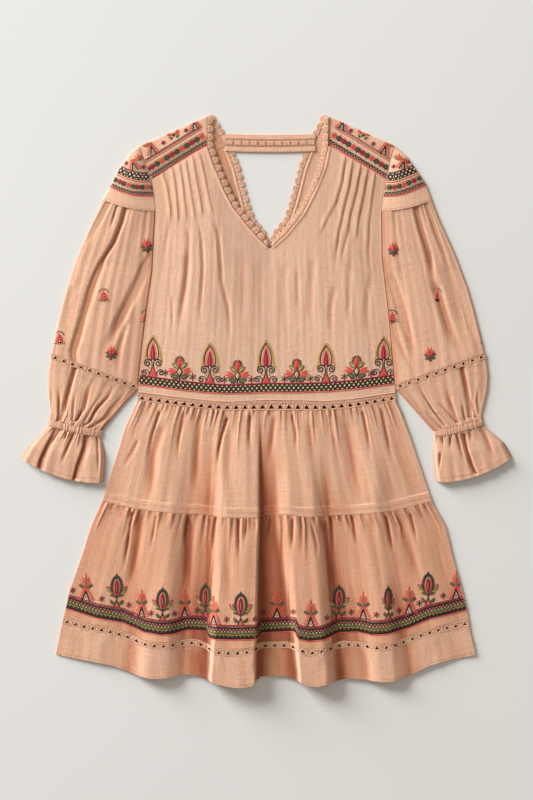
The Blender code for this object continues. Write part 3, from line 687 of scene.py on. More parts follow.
def wave(tree, scale, direction, distortion=0.6):
    """Even ribs over the cut cloth."""
    texture = add_node(tree, "ShaderNodeTexWave", Scale=1.0, Distortion=distortion)
    texture.bands_direction = direction
    tree.links.new(scaled_coordinates(tree, scale, "UV"), texture.inputs["Vector"])
    return texture.outputs["Fac"]


def colour_ramp(tree, value, stops):
    ramp = add_node(tree, "ShaderNodeValToRGB")
    elements = ramp.color_ramp.elements
    for k, (place, colour) in enumerate(stops):
        spot = elements[k] if k < 2 else elements.new(place)
        spot.position = place
        spot.color = (*colour, 1.0)
    tree.links.new(value, ramp.inputs["Fac"])
    return ramp.outputs["Color"]


def multiply_colours(tree, first, second):
    mix = add_node(tree, "ShaderNodeMix", data_type="RGBA", blend_type="MULTIPLY")
    mix.inputs[0].default_value = 1.0
    tree.links.new(first, mix.inputs[6])
    tree.links.new(second, mix.inputs[7])
    return mix.outputs[2]


def scale_value(tree, value, share):
    node = add_node(tree, "ShaderNodeMath", operation="MULTIPLY")
    tree.links.new(value, node.inputs[0])
    node.inputs[1].default_value = share
    return node.outputs[0]


def add_values(tree, first, second, share):
    """first + second * share"""
    node = add_node(tree, "ShaderNodeMath", operation="MULTIPLY_ADD")
    tree.links.new(second, node.inputs[0])
    node.inputs[1].default_value = share
    tree.links.new(first, node.inputs[2])
    return node.outputs[0]


def add_bump(tree, shader, height, distance):
    bump = add_node(tree, "ShaderNodeBump", Distance=distance, Strength=1.0)
    tree.links.new(height, bump.inputs["Height"])
    tree.links.new(bump.outputs["Normal"], shader.inputs["Normal"])


# Painted shade: what the colour is multiplied by, at half the value that each point stores, darker and
# warmer with depth for shadow and bounced light
PAINTED_SHADE_COLOURS = (
    (0.0, (1.0, 1.0, 1.0)),
    (0.25, (0.86, 0.68, 0.585)),
    (0.5, (0.54, 0.28, 0.19)),
    (1.0, (0.2, 0.07, 0.04)),
)


def paint_fold_shade(tree, shader, colour):
    """Gives the shader the colour with painted shade, darker and warmer between folds where shadow and
    light bounced off the cloth fall.
    """
    hollow = add_node(tree, "ShaderNodeAttribute", attribute_name="hollow")
    shade = colour_ramp(tree, scale_value(tree, hollow.outputs["Fac"], 0.5), PAINTED_SHADE_COLOURS)
    tree.links.new(multiply_colours(tree, colour, shade), shader.inputs["Base Color"])


def cloth_material(name, light, mid, deep):
    """Slubbed cotton voile: uneven warp streaks, a fine plain weave and small crinkles."""
    made, tree, shader = new_material(name)
    warp_slubs = noise(tree, (520.0, 14.0, 1.0), 4.0)
    weft_slubs = noise(tree, (14.0, 620.0, 1.0), 3.0)
    slubs = add_values(tree, scale_value(tree, warp_slubs, 0.6), weft_slubs, 0.4)
    patches = noise(tree, (24.0, 16.0, 1.0), 2.0)
    streaks = colour_ramp(tree, slubs, ((0.36, deep), (0.5, mid), (0.64, light)))
    clouds = colour_ramp(tree, patches, ((0.3, (0.93, 0.91, 0.89)), (0.7, (1.0, 1.0, 1.0))))
    paint_fold_shade(tree, shader, multiply_colours(tree, streaks, clouds))
    warp = wave(tree, (320.0, 20.0, 1.0), "X")
    weft = wave(tree, (20.0, 320.0, 1.0), "Y")
    crinkle = noise(tree, (260.0, 60.0, 1.0), 3.0)
    puckers = noise(tree, (45.0, 190.0, 1.0), 3.0)
    height = add_values(tree, add_values(tree, warp, weft, 1.0), crinkle, 3.0)
    height = add_values(tree, height, puckers, 5.0)
    add_bump(tree, shader, add_values(tree, height, slubs, 2.0), 0.00022)
    shader.inputs["Subsurface Weight"].default_value = 0.3
    shader.inputs["Subsurface Radius"].default_value = (1.0, 0.45, 0.25)
    shader.inputs["Subsurface Scale"].default_value = 0.004
    return made


def lace_material(name, light, deep):
    """Crochet cotton: knotted rows of thread."""
    made, tree, shader = new_material(name, roughness=0.9, sheen=0.25)
    knots = add_node(tree, "ShaderNodeTexVoronoi", Scale=1.0)
    places = scaled_coordinates(tree, (620.0, 620.0, 620.0), "Object")
    tree.links.new(places, knots.inputs["Vector"])
    knotted = colour_ramp(tree, knots.outputs["Distance"], ((0.1, light), (0.62, deep)))
    paint_fold_shade(tree, shader, knotted)
    fibre = noise(tree, (1800.0, 1800.0, 1800.0), 2.0, "Object")
    add_bump(tree, shader, add_values(tree, fibre, knots.outputs["Distance"], -2.0), 0.0005)
    return made


def thread_material(name, colour):
    """Embroidery thread laid in satin stitch, with fine ribs across the stitch and a soft gloss."""
    made, tree, shader = new_material(name, roughness=0.6, sheen=0.12, tint=(1.0, 0.85, 0.75, 1.0))
    deep = tuple(0.62 * c for c in colour)
    light = tuple(min(1.0, 1.18 * c + 0.01) for c in colour)
    ribs = wave(tree, (1.0, 420.0, 1.0), "Y", distortion=1.5)
    fleck = noise(tree, (500.0, 500.0, 500.0), 2.0, "Object")
    # The fleck is the thread's own uneven tone; the ribs lighten and darken it as painted sheen and shade
    # across the stitches
    fleck_and_rib_sheen = add_values(tree, fleck, ribs, 0.45)
    shade = colour_ramp(tree, fleck_and_rib_sheen, ((0.35, deep), (0.6, colour), (0.95, light)))
    tree.links.new(shade, shader.inputs["Base Color"])
    add_bump(tree, shader, ribs, 0.00025)
    return made


CLOTH_LIGHT = (0.97, 0.625, 0.46)
CLOTH_MID = (0.93, 0.545, 0.385)
CLOTH_DEEP = (0.86, 0.46, 0.30)
cloth = cloth_material("cloth", CLOTH_LIGHT, CLOTH_MID, CLOTH_DEEP)
lace = lace_material("crochet", (0.96, 0.655, 0.48), (0.82, 0.49, 0.33))
# The lace plates: a darker copy of the crochet under its lighter threads, painted shade between the threads
lace_ground_painted_shade = lace_material("crochet_ground_painted_shade", (0.84, 0.50, 0.34), (0.60, 0.31, 0.18))
THREADS = {
    "coral": (0.70, 0.088, 0.066),
    "pink": (0.80, 0.19, 0.14),
    "crimson": (0.36, 0.012, 0.035),
    "maroon": (0.17, 0.010, 0.028),
    "green": (0.088, 0.083, 0.040),
    "teal": (0.040, 0.042, 0.028),
    "olive": (0.25, 0.185, 0.050),
    "gold": (0.58, 0.35, 0.075),
    "cream": (0.88, 0.66, 0.45),
    "straw": (0.78, 0.55, 0.27),
    "bronze": (0.38, 0.21, 0.075),
    "black": (0.022, 0.011, 0.011),
    "sewing": (0.72, 0.38, 0.24),
}
thread_finishes = [thread_material("thread_" + key, colour) for key, colour in THREADS.items()]
thread_finishes += [lace, cloth]
thread_index = {key: k for k, key in enumerate([*THREADS, "lace", "cloth"])}


# Cloth shells
SHELL_WALL = 0.9
UNDERSIDE_RELIEF = 0.3
LOWEST_TOP = FRONT_FLOOR + SHELL_WALL + 0.15
EDGE_ROUND = 2.4
EDGE_STEPS = np.array([0.0, 0.25, 0.7, 1.4, EDGE_ROUND])
BACK_COLUMNS = 90
BACK_INSIDE_RELIEF = 0.25
UNDERSIDE_RIPPLES = 9
# Each piece's cut, or one half's where it has a front and a back: width and length, and area, in metres
CUTS = {
    "bodice_front": ((0.42, 0.41), 0.135),
    "bodice_back": ((0.42, 0.41), 0.125),
    "upper_tier": ((0.56, 0.175), 0.085),
    "lower_tier": ((0.68, 0.225), 0.125),
    "hem_panel": ((0.70, 0.055), 0.034),
    "upper_sleeve": ((0.30, 0.27), 0.075),
    "lower_sleeve": ((0.32, 0.10), 0.026),
    "wrist_band": ((0.20, 0.012), None),
    "cuff_ruffle": ((0.36, 0.075), 0.022),
    "sleeve_cap": ((0.20, 0.115), 0.012),
    "yoke": ((0.13, 0.12), 0.012),
}


def flat_grid(s, t, flat):
    """Places on the cut cloth, in millimetres, of points at the shares s across and t down."""
    return np.stack([s * flat[0], t * flat[1]], -1) / MM


sheets = {}


def finish_piece(obj, node, slot, flat, area=None, rests_on=()):
    """Ties a piece to the body, hides the solid that it replaces, and keeps what it says as a sheet."""
    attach(obj, BODY)
    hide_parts(node)
    if flat:
        sheets[obj.name] = {"flat": flat, "area": area, "rests_on": rests_on, "with_pieces": []}
    return obj


# Painted shade added: inside the back, in the front edge's shade; all over a gathered piece; and on a
# sleeve beside the bodice, in the bodice's shade
INSIDE_PAINTED_SHADE_LEFT = 0.5
INSIDE_PAINTED_SHADE_RIGHT = 0.15
EVEN_PAINTED_SHADE = {
    "bodice_front": 0.0,
    "upper_tier_front": 0.17,
    "lower_tier_front": 0.34,
    "hem_panel_front": 0.14,
}
SLEEVE_EVEN_PAINTED_SHADE = 0.14
BESIDE_SHADE = 0.75
BESIDE_REACH = 4.5


def inside_shade(x):
    """The back's inside lies in the shade of the front's edge, most on the side towards the light."""
    return np.where(x < 0, INSIDE_PAINTED_SHADE_LEFT, INSIDE_PAINTED_SHADE_RIGHT)


def shares_across(columns, *seams):
    """Shares across a panel, with one at each corner of its seams."""
    corners = [seam_stations(seam)[0] for seam in seams]
    return np.unique(np.concatenate([np.linspace(0, 1, columns), *corners]))


def front_shell(node, plan, height, cut, rests_on):
    x, y, s, t = plan
    outer = np.stack([x, y, height], -1)
    inner = np.stack([x, y, np.maximum(height - SHELL_WALL, FRONT_FLOOR)], -1)
    # Painted shade between folds, and all over a gathered piece
    shade = painted_fold_shade(outer) + EVEN_PAINTED_SHADE[node]
    obj = make_wall(node + "_cloth", outer, inner, flat_grid(s, t, cut[0]), [cloth], shade=shade)
    return finish_piece(obj, node, "cloth", *cut, rests_on)


def back_shell(node, top, foot, rows, gathers, cut, seed):
    """A back panel: soft gathers show on its inside, and shallow ones on the flat underside."""
    plan = body_plan(top, foot, shares_across(BACK_COLUMNS, top, foot), np.linspace(0, 1, rows))
    x, y, s, t = plan
    hollow = 1 - np.clip(uneven_gathers(s, t, gathers, 1.0, 1.2, seed), 0, 1)
    outer = np.stack([x, y, BACK_WALL - BACK_INSIDE_RELIEF * hollow], -1)
    inner = np.stack([x, y, UNDERSIDE_RELIEF * hollow], -1)
    # Painted shade on the back bodice's inside
    shade = inside_shade(x) if node == "bodice_back" else None
    obj = make_wall(node + "_cloth", outer, inner, flat_grid(s, t, cut[0]), [cloth], shade=shade)
    return finish_piece(obj, node, "cloth", *cut)


WAIST_FADE = 40.0


def add_bodice():
    plan = body_plan(FRONT_NECK, WAIST, shares_across(281, FRONT_NECK), np.linspace(0, 1, 76))
    x, y, s, t = plan
    relief = crease_height(BODICE_CREASES, x, y) + fine_wave(s, t, 24, 0.22, 11) * smooth(t / 0.3)
    fade = smooth((y - seam_y(WAIST, s)) / WAIST_FADE)
    height = np.maximum(base_height(x, y, BODICE_PUFF) + relief * fade, LOWEST_TOP)
    back = back_shell("bodice_back", BACK_NECK, WAIST, 38, 24, CUTS["bodice_back"], 3)
    return front_shell("bodice_front", plan, height, CUTS["bodice_front"], [back]), back


# The doubled strip at the upper tier's foot
STRIP_HEIGHT = 15.5
STRIP_RISE = 0.55
STRIP_STEP = 0.002
STRIP_CALM = 0.6


def add_tier(name, top, foot, grid, gathers, seed, strip=False):
    """A tier's front and back panels.

    grid gives the columns and rows of the front. gathers says how many there are at the seam above, their
    height and how far down the tier they reach.
    """
    columns, rows = grid
    count, height, reach = gathers
    cut = CUTS[name]
    down = np.linspace(0, 1, rows)
    if strip:
        edge = 1 - STRIP_HEIGHT * MM / cut[0][1]
        down = np.unique(np.concatenate([down, edge + np.array([-STRIP_STEP, STRIP_STEP])]))
    plan = body_plan(top, foot, shares_across(columns, top, foot), down)
    x, y, s, t = plan
    relief = uneven_gathers(s, t, count, height, reach, seed)
    relief += uneven_gathers(s, t, count * 3, height * 0.4, reach * 0.35, seed + 1)
    relief += fine_wave(s, t, 9, 0.9, seed + 2) * smooth(t * 2)
    relief += fine_wave(s, t, 24, 0.25, seed + 3) * smooth(t * 3)
    relief += crease_height(SKIRT_CREASES, x, y)
    if strip:
        on_strip = smooth((t - edge + STRIP_STEP) / (2 * STRIP_STEP))
        relief = relief * (1 - STRIP_CALM * on_strip) + STRIP_RISE * on_strip
    z = np.maximum(base_height(x, y, SKIRT_PUFF) + relief, LOWEST_TOP)
    back = back_shell(name + "_back", top, foot, max(4, rows // 3), GATHERS, cut, seed)
    return front_shell(name + "_front", plan, z, cut, [back]), back


# Sleeves, caps and yokes
TUBE_TOP = FRONT_FLOOR + FRONT_WALL
RUFFLE_HEIGHT = 4.6
RUFFLE_SLACK = 5.0
CAP_LIFT = 3.9


def sections(rows, v):
    """Outer x and y, inner x and y and bow at the shares v down a sleeve's table."""
    table = np.array(rows, float)
    place = np.linspace(0, 1, len(rows))
    return np.stack([np.interp(v, place, table[:, k]) for k in range(5)], -1)


def section_points(read, u):
    """x and y at the shares u from the outer to the inner side of each section."""
    read = read[:, None]
    x = read[..., 0] * (1 - u) + read[..., 2] * u
    y = read[..., 1] * (1 - u) + read[..., 3] * u - read[..., 4] * 4 * u * (1 - u)
    return x, y


def rounded(distance):
    """How far an edge's rounding has risen at a distance from the fold, 0 to 1."""
    return np.sqrt(1 - (1 - np.clip(distance / EDGE_ROUND, 0, 1)) ** 2)


def edge_shares(width, steps):
    """Shares across a flattened tube, close together at its two folds."""
    edge = EDGE_STEPS[None] / width[:, None]
    middle = np.linspace(0, 1, steps + 1)[1:-1]
    start, end = edge[:, -1:], 1 - edge[:, -1:]
    return np.concatenate([edge, start + (end - start) * middle, 1 - edge[:, ::-1]], axis=1)


def tube_shell(kind, which, rows, steps, height, slack=0.0):
    """A tube pressed flat.

    steps are its rows, front columns and back columns, and slack is how far its raised folds hang down.
    """
    node = kind + "_" + which
    v = np.linspace(0, 1, steps[0] + 1)
    read = sections(rows, v)
    width = np.hypot(read[:, 2] - read[:, 0], read[:, 3] - read[:, 1])
    front = edge_shares(width, steps[1])
    back = edge_shares(width, steps[2])[:, -2:0:-1]
    inset = SHELL_WALL / width[:, None]
    down = np.broadcast_to(v[:, None], front.shape)
    x, y = section_points(read, front)
    top = height(x, y, front, down)
    rise = rounded(np.minimum(front, 1 - front) * width[:, None])
    y_shown = y - slack * down**2 * 0.5 * (top - top.min()) / max(np.ptp(top), 0.1)
    outer = [np.stack([x, y_shown, FOLD_MID + (top - FOLD_MID) * rise], -1)]
    x, y = section_points(read, inset + (1 - 2 * inset) * front)
    ceiling = np.maximum(top - SHELL_WALL, FRONT_FLOOR)
    inner = [np.stack([x, y, FOLD_MID + (ceiling - FOLD_MID) * rise], -1)]
    rise = rounded(np.minimum(back, 1 - back) * width[:, None])
    hollow = UNDERSIDE_RELIEF * np.sin(UNDERSIDE_RIPPLES * math.pi * back + 2 * v[:, None]) ** 2
    x, y = section_points(read, back)
    outer.append(np.stack([x, y, FOLD_MID + (hollow - FOLD_MID) * rise], -1))
    x, y = section_points(read, inset + (1 - 2 * inset) * back)
    inner.append(np.stack([x, y, FOLD_MID + (BACK_WALL - FOLD_MID) * rise], -1))
    around = np.concatenate([front, 2 - back], axis=1) / 2
    down = np.broadcast_to(v[:, None], around.shape)
    shown = np.concatenate(outer, 1)
    # Painted shade between folds and all over, and on a sleeve beside the bodice where the bodice shades it
    shade = painted_fold_shade(shown) + SLEEVE_EVEN_PAINTED_SHADE
    if "sleeve" in node:
        beside = np.abs(shown[..., 0]) - np.abs(read[:, 2])[:, None]
        shade += BESIDE_SHADE * np.exp(-np.maximum(beside, 0) / BESIDE_REACH)
    flat = flat_grid(around, down, CUTS[kind][0])
    obj = make_wall(node + "_cloth", shown, np.concatenate(inner, 1), flat, [cloth], True, shade)
    return finish_piece(obj, node, "cloth", *CUTS[kind])


def arched(share):
    """The rise of a flattened tube, from 0 at one fold to 0 at the other."""
    return np.sin(math.pi * np.clip(share, 0, 1)) ** 0.8


def sleeve_top(creases, gathers, seed, at_top, at_foot):
    """A sleeve's upper surface: a soft rise, its creases and gathers that change from top to foot."""
    def height(x, y, u, v):
        inside = smooth(np.minimum(u, 1 - u) / 0.05)
        drawn = at_top * uneven_gathers(u, v, gathers, 1.0, 0.4, seed)
        drawn += at_foot * uneven_gathers(u, 1 - v, gathers, 1.0, 1.0, seed + 1)
        relief = crease_height(creases, x, y) + drawn + fine_wave(u, v, 6, 0.5, seed)
        return np.maximum(TUBE_TOP + SLEEVE_PUFF * arched(u) + inside * relief, LOWEST_TOP)
    return height


def wrist_top(seed):
    """A ruched band, rounded from top to foot."""
    def height(x, y, u, v):
        ruched = uneven_gathers(u, 0 * v, 34, 0.8, 1.0, seed)
        round_over = 0.7 * np.sin(math.pi * np.clip(v, 0, 1)) ** 0.5
        return TUBE_TOP + SLEEVE_PUFF * arched(u) + ruched + round_over
    return height


def ruffle_top(creases, seed):
    """A flared ruffle: fine gathers at the wrist and a few broad folds given one by one."""
    def height(x, y, u, v):
        held = np.clip(u, 0, 1)
        inside = smooth(np.minimum(held, 1 - held) / 0.06)
        drawn = uneven_gathers(u, v, 24, 1.6, 0.35, seed) + fine_wave(u, v, 5, 0.7, seed) * v
        level = TUBE_TOP + (0.6 + (SLEEVE_PUFF - 0.2) * (1 - smooth(v / 0.4))) * arched(u)
        relief = RUFFLE_HEIGHT * smooth(2 * v) + drawn + crease_height(creases, x, y)
        return np.maximum(level + inside * relief, LOWEST_TOP)
    return height


def fold_shell(kind, which, fold, front, back, bow, lift, columns):
    """A piece folded over the shoulder, from its front edge round the fold to its back edge."""
    node = kind + "_" + which
    u = np.linspace(1, 0, columns + 1)[None] ** 1.4
    shares = [u, u[:, -2::-1]]
    outer, inner = [], []
    for share, edge, below in zip(shares, (front, back), (False, True)):
        reach = np.hypot(*(edge - fold).T)[:, None]
        rise = rounded(share * reach)
        rise = np.where(reach < EDGE_ROUND * 1.5, np.maximum(rise, share), rise)
        inset = np.minimum(SHELL_WALL / reach, 0.4) * (1 - share)
        points = []
        for at in (share, share + inset):
            x = fold[:, :1] * (1 - at) + edge[:, :1] * at
            y = fold[:, 1:] * (1 - at) + edge[:, 1:] * at - bow[:, None] * 4 * at * (1 - at)
            points.append((x, y))
        raised = FRONT_FLOOR + lift[:, None] * np.sin(math.pi * share)
        levels = (0.0, BACK_WALL) if below else (raised + FRONT_WALL, raised)
        for grid, (x, y), level in zip((outer, inner), points, levels):
            grid.append(np.stack([x, y, FOLD_MID + (level - FOLD_MID) * rise], -1))
    outer, inner = np.concatenate(outer, 1), np.concatenate(inner, 1)
    folded_under = np.arange(outer.shape[1]) > columns
    # Painted shade on the half folded under, inside the garment
    shade = inside_shade(outer[..., 0]) * folded_under
    obj = make_wall(node + "_cloth", outer, inner, grid_lengths(outer), [cloth], shade=shade)
    return finish_piece(obj, node, "embroidery", *CUTS[kind])


def add_yoke(which, rows):
    ends = np.array(rows, float)
    v = np.linspace(0, 1, 61)[:, None]
    fold, front, back = (ends[0, k] * (1 - v) + ends[1, k] * v for k in range(3))
    lift = np.sin(math.pi * v[:, 0])
    return fold_shell("yoke", which, fold, front, back, 0 * v[:, 0], lift, 26)


def add_cap(which, rows):
    v = np.linspace(0, 1, 61)
    fold, edge, bow = np.split(sections(rows, v), (2, 4), axis=1)
    return fold_shell("sleeve_cap", which, fold, edge, edge, bow[:, 0], CAP_LIFT * smooth(v / 0.4), 30)


# Embroidery and stitches, drawn flat in millimetres and then laid on a piece's upper or lower side
RIBBON = np.array([(-1.0, 0.1), (-0.6, 0.75), (0.0, 1.0), (0.6, 0.75), (1.0, 0.1)])
NARROW = np.array([(-1.0, 0.2), (0.0, 1.0), (1.0, 0.2)])
NARROW_UNDER = 1.6
DOT_SIDES = 8
STITCH_LIFT = 0.1
UNDERSIDE_SHARE = 0.5
LAY_FROM = 0.2


def run_length(points):
    """Length along a route up to each of its points."""
    return np.concatenate([[0], np.cumsum(np.hypot(*np.diff(points, axis=0).T))])


def circle(angles):
    return np.stack([np.cos(angles), np.sin(angles)], -1)


def resample(points, step):
    """Points along a route, evenly spaced and at most a step apart."""
    points = np.asarray(points, float)
    length = run_length(points)
    count = max(2, math.ceil(length[-1] / step) + 1)
    places = np.linspace(0, length[-1], count)
    return np.stack([np.interp(places, length, points[:, k]) for k in range(2)], -1)


def normals_of(points):
    tangent = np.gradient(points, axis=0)
    tangent /= np.maximum(np.linalg.norm(tangent, axis=1), 1e-6)[:, None]
    return np.stack([-tangent[:, 1], tangent[:, 0]], -1)


class Needlework:
    """Collects raised shapes, then lays them on a garment piece as one object of several threads."""

    def __init__(self):
        self.points, self.relief, self.places, self.faces, self.threads = [], [], [], [], []
        self.count = 0

    def add(self, points, relief, places, faces, thread):
        faces = np.asarray(faces, int)
        self.points.append(points)
        self.relief.append(relief)
        self.places.append(places)
        self.faces.append(faces + self.count)
        self.threads.append(np.full(len(faces), thread_index[thread]))
        self.count += len(points)

    def ribbon(self, spine, half, thread, relief, profile=RIBBON):
        """A band along the spine, whose half width is one number or one for each point."""
        spine = np.asarray(spine, float)
        half = np.broadcast_to(half, len(spine))
        side_on = normals_of(spine)
        offsets = half[:, None] * profile[:, 0]
        points = spine[:, None] + side_on[:, None] * offsets[..., None]
        length = run_length(spine)
        places = np.stack([offsets, np.broadcast_to(length[:, None], offsets.shape)], -1)
        height = relief * profile[:, 1] * np.minimum(1, 0.4 + half / max(half.max(), 1e-6))[:, None]
        rows, columns = offsets.shape
        r, c = np.meshgrid(np.arange(rows - 1), np.arange(columns - 1), indexing="ij")
        a = (r * columns + c).ravel()
        quads = np.stack([a, a + columns, a + columns + 1, a + 1], -1)
        triangles = np.concatenate([quads[:, [0, 1, 2]], quads[:, [0, 2, 3]]])
        self.add(points.reshape(-1, 2), height.ravel(), places.reshape(-1, 2), triangles, thread)

    def line(self, points, width, thread, relief=0.4, step=1.6):
        self.ribbon(resample(points, step), width / 2, thread, relief, NARROW)

    def petal(self, start, end, width, thread, bend=0.0, relief=0.55, steps=6, blunt=0.0):
        """A satin-stitched leaf from start to end; bend bows it sideways as a share of its length."""
        start, end = np.asarray(start, float), np.asarray(end, float)
        u = np.linspace(0, 1, steps + 1)[:, None]
        along = end - start
        aside = np.array([-along[1], along[0]])
        spine = start + along * u + aside * bend * 4 * u * (1 - u)
        half = width / 2 * np.maximum(np.sin(math.pi * (0.04 + 0.92 * u[:, 0])) ** 0.75, blunt)
        self.ribbon(spine, half, thread, relief, RIBBON if width > NARROW_UNDER else NARROW)

    def patch(self, outline, thread, relief=0.4, inner=0.6):
        """A filled shape with a raised middle."""
        outline = np.asarray(outline, float)
        count = len(outline)
        middle = outline.mean(axis=0)
        points = np.concatenate([outline, middle + (outline - middle) * inner, [middle]])
        height = relief * np.concatenate([np.full(count, 0.15), np.full(count, 0.9), [1.0]])
        a = np.arange(count)
        b = (a + 1) % count
        faces = np.concatenate([
            np.stack([a, b, count + b], -1), np.stack([a, count + b, count + a], -1),
            np.stack([count + a, count + b, np.full(count, 2 * count)], -1),
        ])
        self.add(points, height, points - middle, faces, thread)

    def dot(self, place, radius, thread, relief=0.5):
        rim = circle(np.linspace(0, 2 * math.pi, DOT_SIDES, endpoint=False))
        self.patch(np.asarray(place, float) + radius * rim, thread, relief)

    def lay(self, name, target, above=True):
        """Lays the shapes on the target's upper or lower side, and leaves out what misses it."""
        tree = BVHTree.FromObject(target, bpy.context.evaluated_depsgraph_get())
        points = np.concatenate(self.points)
        relief = np.concatenate(self.relief) + STITCH_LIFT
        heights = np.full(len(points), np.nan)
        way = 1 if above else -1
        for k, (x, y) in enumerate(points * MM):
            hit = tree.ray_cast(Vector((x, y, way * LAY_FROM)), Vector((0, 0, -way)))[0]
            if hit is not None and above:
                heights[k] = hit.z / MM + relief[k]
            elif hit is not None:
                heights[k] = max(hit.z / MM - relief[k] * UNDERSIDE_SHARE, 0.0)
        faces = np.concatenate(self.faces)
        threads = np.concatenate(self.threads)
        kept = ~np.isnan(heights[faces]).any(axis=1)
        faces, threads = faces[kept], threads[kept]
        used, faces = np.unique(faces, return_inverse=True)
        faces = faces.reshape(-1, 3)
        points, heights = points[used], heights[used]
        a, b, c = (points[faces[:, k]] for k in range(3))
        turn = (b - a)[:, 0] * (c - a)[:, 1] - (b - a)[:, 1] * (c - a)[:, 0]
        backwards = turn < 0 if above else turn > 0
        faces[backwards] = faces[backwards][:, ::-1]
        solid = np.column_stack([points, heights])
        places = np.concatenate(self.places)[used] * MM
        kinds, threads = np.unique(threads, return_inverse=True)
        obj = make_object(name, solid, [faces], [thread_finishes[k] for k in kinds], threads, places)
        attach(obj, BODY)
        if target.name in sheets:
            sheets[target.name]["with_pieces"].append(obj)
        return obj


class Motif:
    """A place to draw from, with its own size and turn; lengths are the photo's, up is +y."""

    def __init__(self, work, place, size=PIXEL, turn=0.0):
        self.work, self.size = work, size
        self.place = np.asarray(place, float)
        c, s = math.cos(turn), math.sin(turn)
        self.turned = np.array([[c, s], [-s, c]])

    def at(self, points):
        return np.asarray(points, float) * self.size @ self.turned + self.place

    def petal(self, start, end, width, thread, bend=0.0, **more):
        self.work.petal(self.at(start), self.at(end), width * self.size, thread, bend, **more)

    def pair(self, start, end, width, thread, bend=0.0, **more):
        for way in (1, -1):
            ends = [(x * way, y) for x, y in (start, end)]
            self.petal(*ends, width, thread, bend * way, **more)

    def line(self, points, width, thread, **more):
        self.work.line(self.at(points), width * self.size, thread, **more)

    def pair_line(self, points, width, thread, **more):
        for way in (1, -1):
            self.line([(x * way, y) for x, y in points], width, thread, **more)

    def patch(self, outline, thread, **more):
        self.work.patch(self.at(outline), thread, **more)

    def dot(self, place, radius, thread):
        self.work.dot(self.at(place), radius * self.size, thread)

    def rays(self, middle, inner, outer, angles, width, thread):
        for angle in np.radians(angles):
            way = np.array([math.sin(angle), math.cos(angle)])
            self.petal(np.add(middle, way * inner), np.add(middle, way * outer), width, thread, steps=3)


def scroll(middle, radius, start, turns, way):
    """Points of a spiral that starts on its outside at the angle start and closes in."""
    u = np.linspace(0, 1, 18)
    angle = math.radians(start) + way * turns * 2 * math.pi * u
    reach = radius * (1 - 0.78 * u)
    return np.stack([middle[0] + reach * np.cos(angle), middle[1] + reach * np.sin(angle)], -1)


def star(work, place, radius=4.0, thread="maroon"):
    motif = Motif(work, place)
    motif.rays((0, 0), 0.5, radius, range(0, 360, 60), 1.25, thread)
    motif.dot((0, 0), 0.8, "black")


def spear(work, place, tall):
    """Waist motif: a spear over two pairs of scrolls and a triangle foot."""
    motif = Motif(work, place)
    rise = tall - 40.0
    for thread, width, low, high, relief in (
        ("pink", 8.4, 17.6, 35.4, 0.45),
        ("maroon", 6.8, 17.6, 33.4, 0.6),
        ("crimson", 4.8, 17.8, 32.4, 0.75),
        ("coral", 1.4, 18.6, 30.0, 0.9),
    ):
        u = np.linspace(0, 1, 9)
        half = width / 2 * np.minimum(1, (1 - u) ** 0.62 * 1.25) * (0.82 + 0.18 * np.minimum(1, u * 4))
        spine = motif.at(np.stack([0 * u, low + (high + rise - low) * u], -1))
        work.ribbon(spine, half * motif.size, thread, relief)
    side_line = [(1.0, 17.2), (4.6, 17.6), (5.7, 20.5), (5.6, 26.0), (4.0, 31.5), (1.6, 35.5), (0.0, 38.0)]
    motif.pair_line([(x, y + rise * max(0, y - 18) / 20) for x, y in side_line], 1.0, "black")
    fringe = [(8.9, 16.0), (7.6, 20.5), (7.2, 25.5), (5.7, 31.0), (3.0, 36.0), (0.3, 40.4)]
    points = resample([(x, y + rise * max(0, y - 18) / 20) for x, y in fringe], 1.5)
    for point, aside in zip(points, normals_of(points)):
        motif.pair(point + aside, point - aside, 1.75, "gold", steps=2)
    motif.pair_line(scroll((5.4, 13.6), 3.7, 100, 1.45, -1), 1.2, "black")
    leg = [(4.7, 17.2), (1.2, 16.2), (0.7, 12.5), (0.8, 9.5), (2.6, 4.5), (4.6, 0.6)]
    motif.pair_line(leg, 1.0, "black")
    motif.pair_line([(3.4, 3.0), (4.6, 6.0), (6.8, 7.2), (8.6, 7.0)], 0.9, "black")
    motif.pair_line(scroll((8.4, 4.0), 3.0, 85, 1.35, -1), 1.15, "black")
    motif.patch([(-4.0, 0.4), (4.0, 0.4), (0.3, 9.2), (-0.3, 9.2)], "coral")
    motif.pair((3.2, 8.0), (4.4, 10.4), 0.8, "teal", steps=2)
    motif.dot((0, 1.9), 0.7, "crimson")


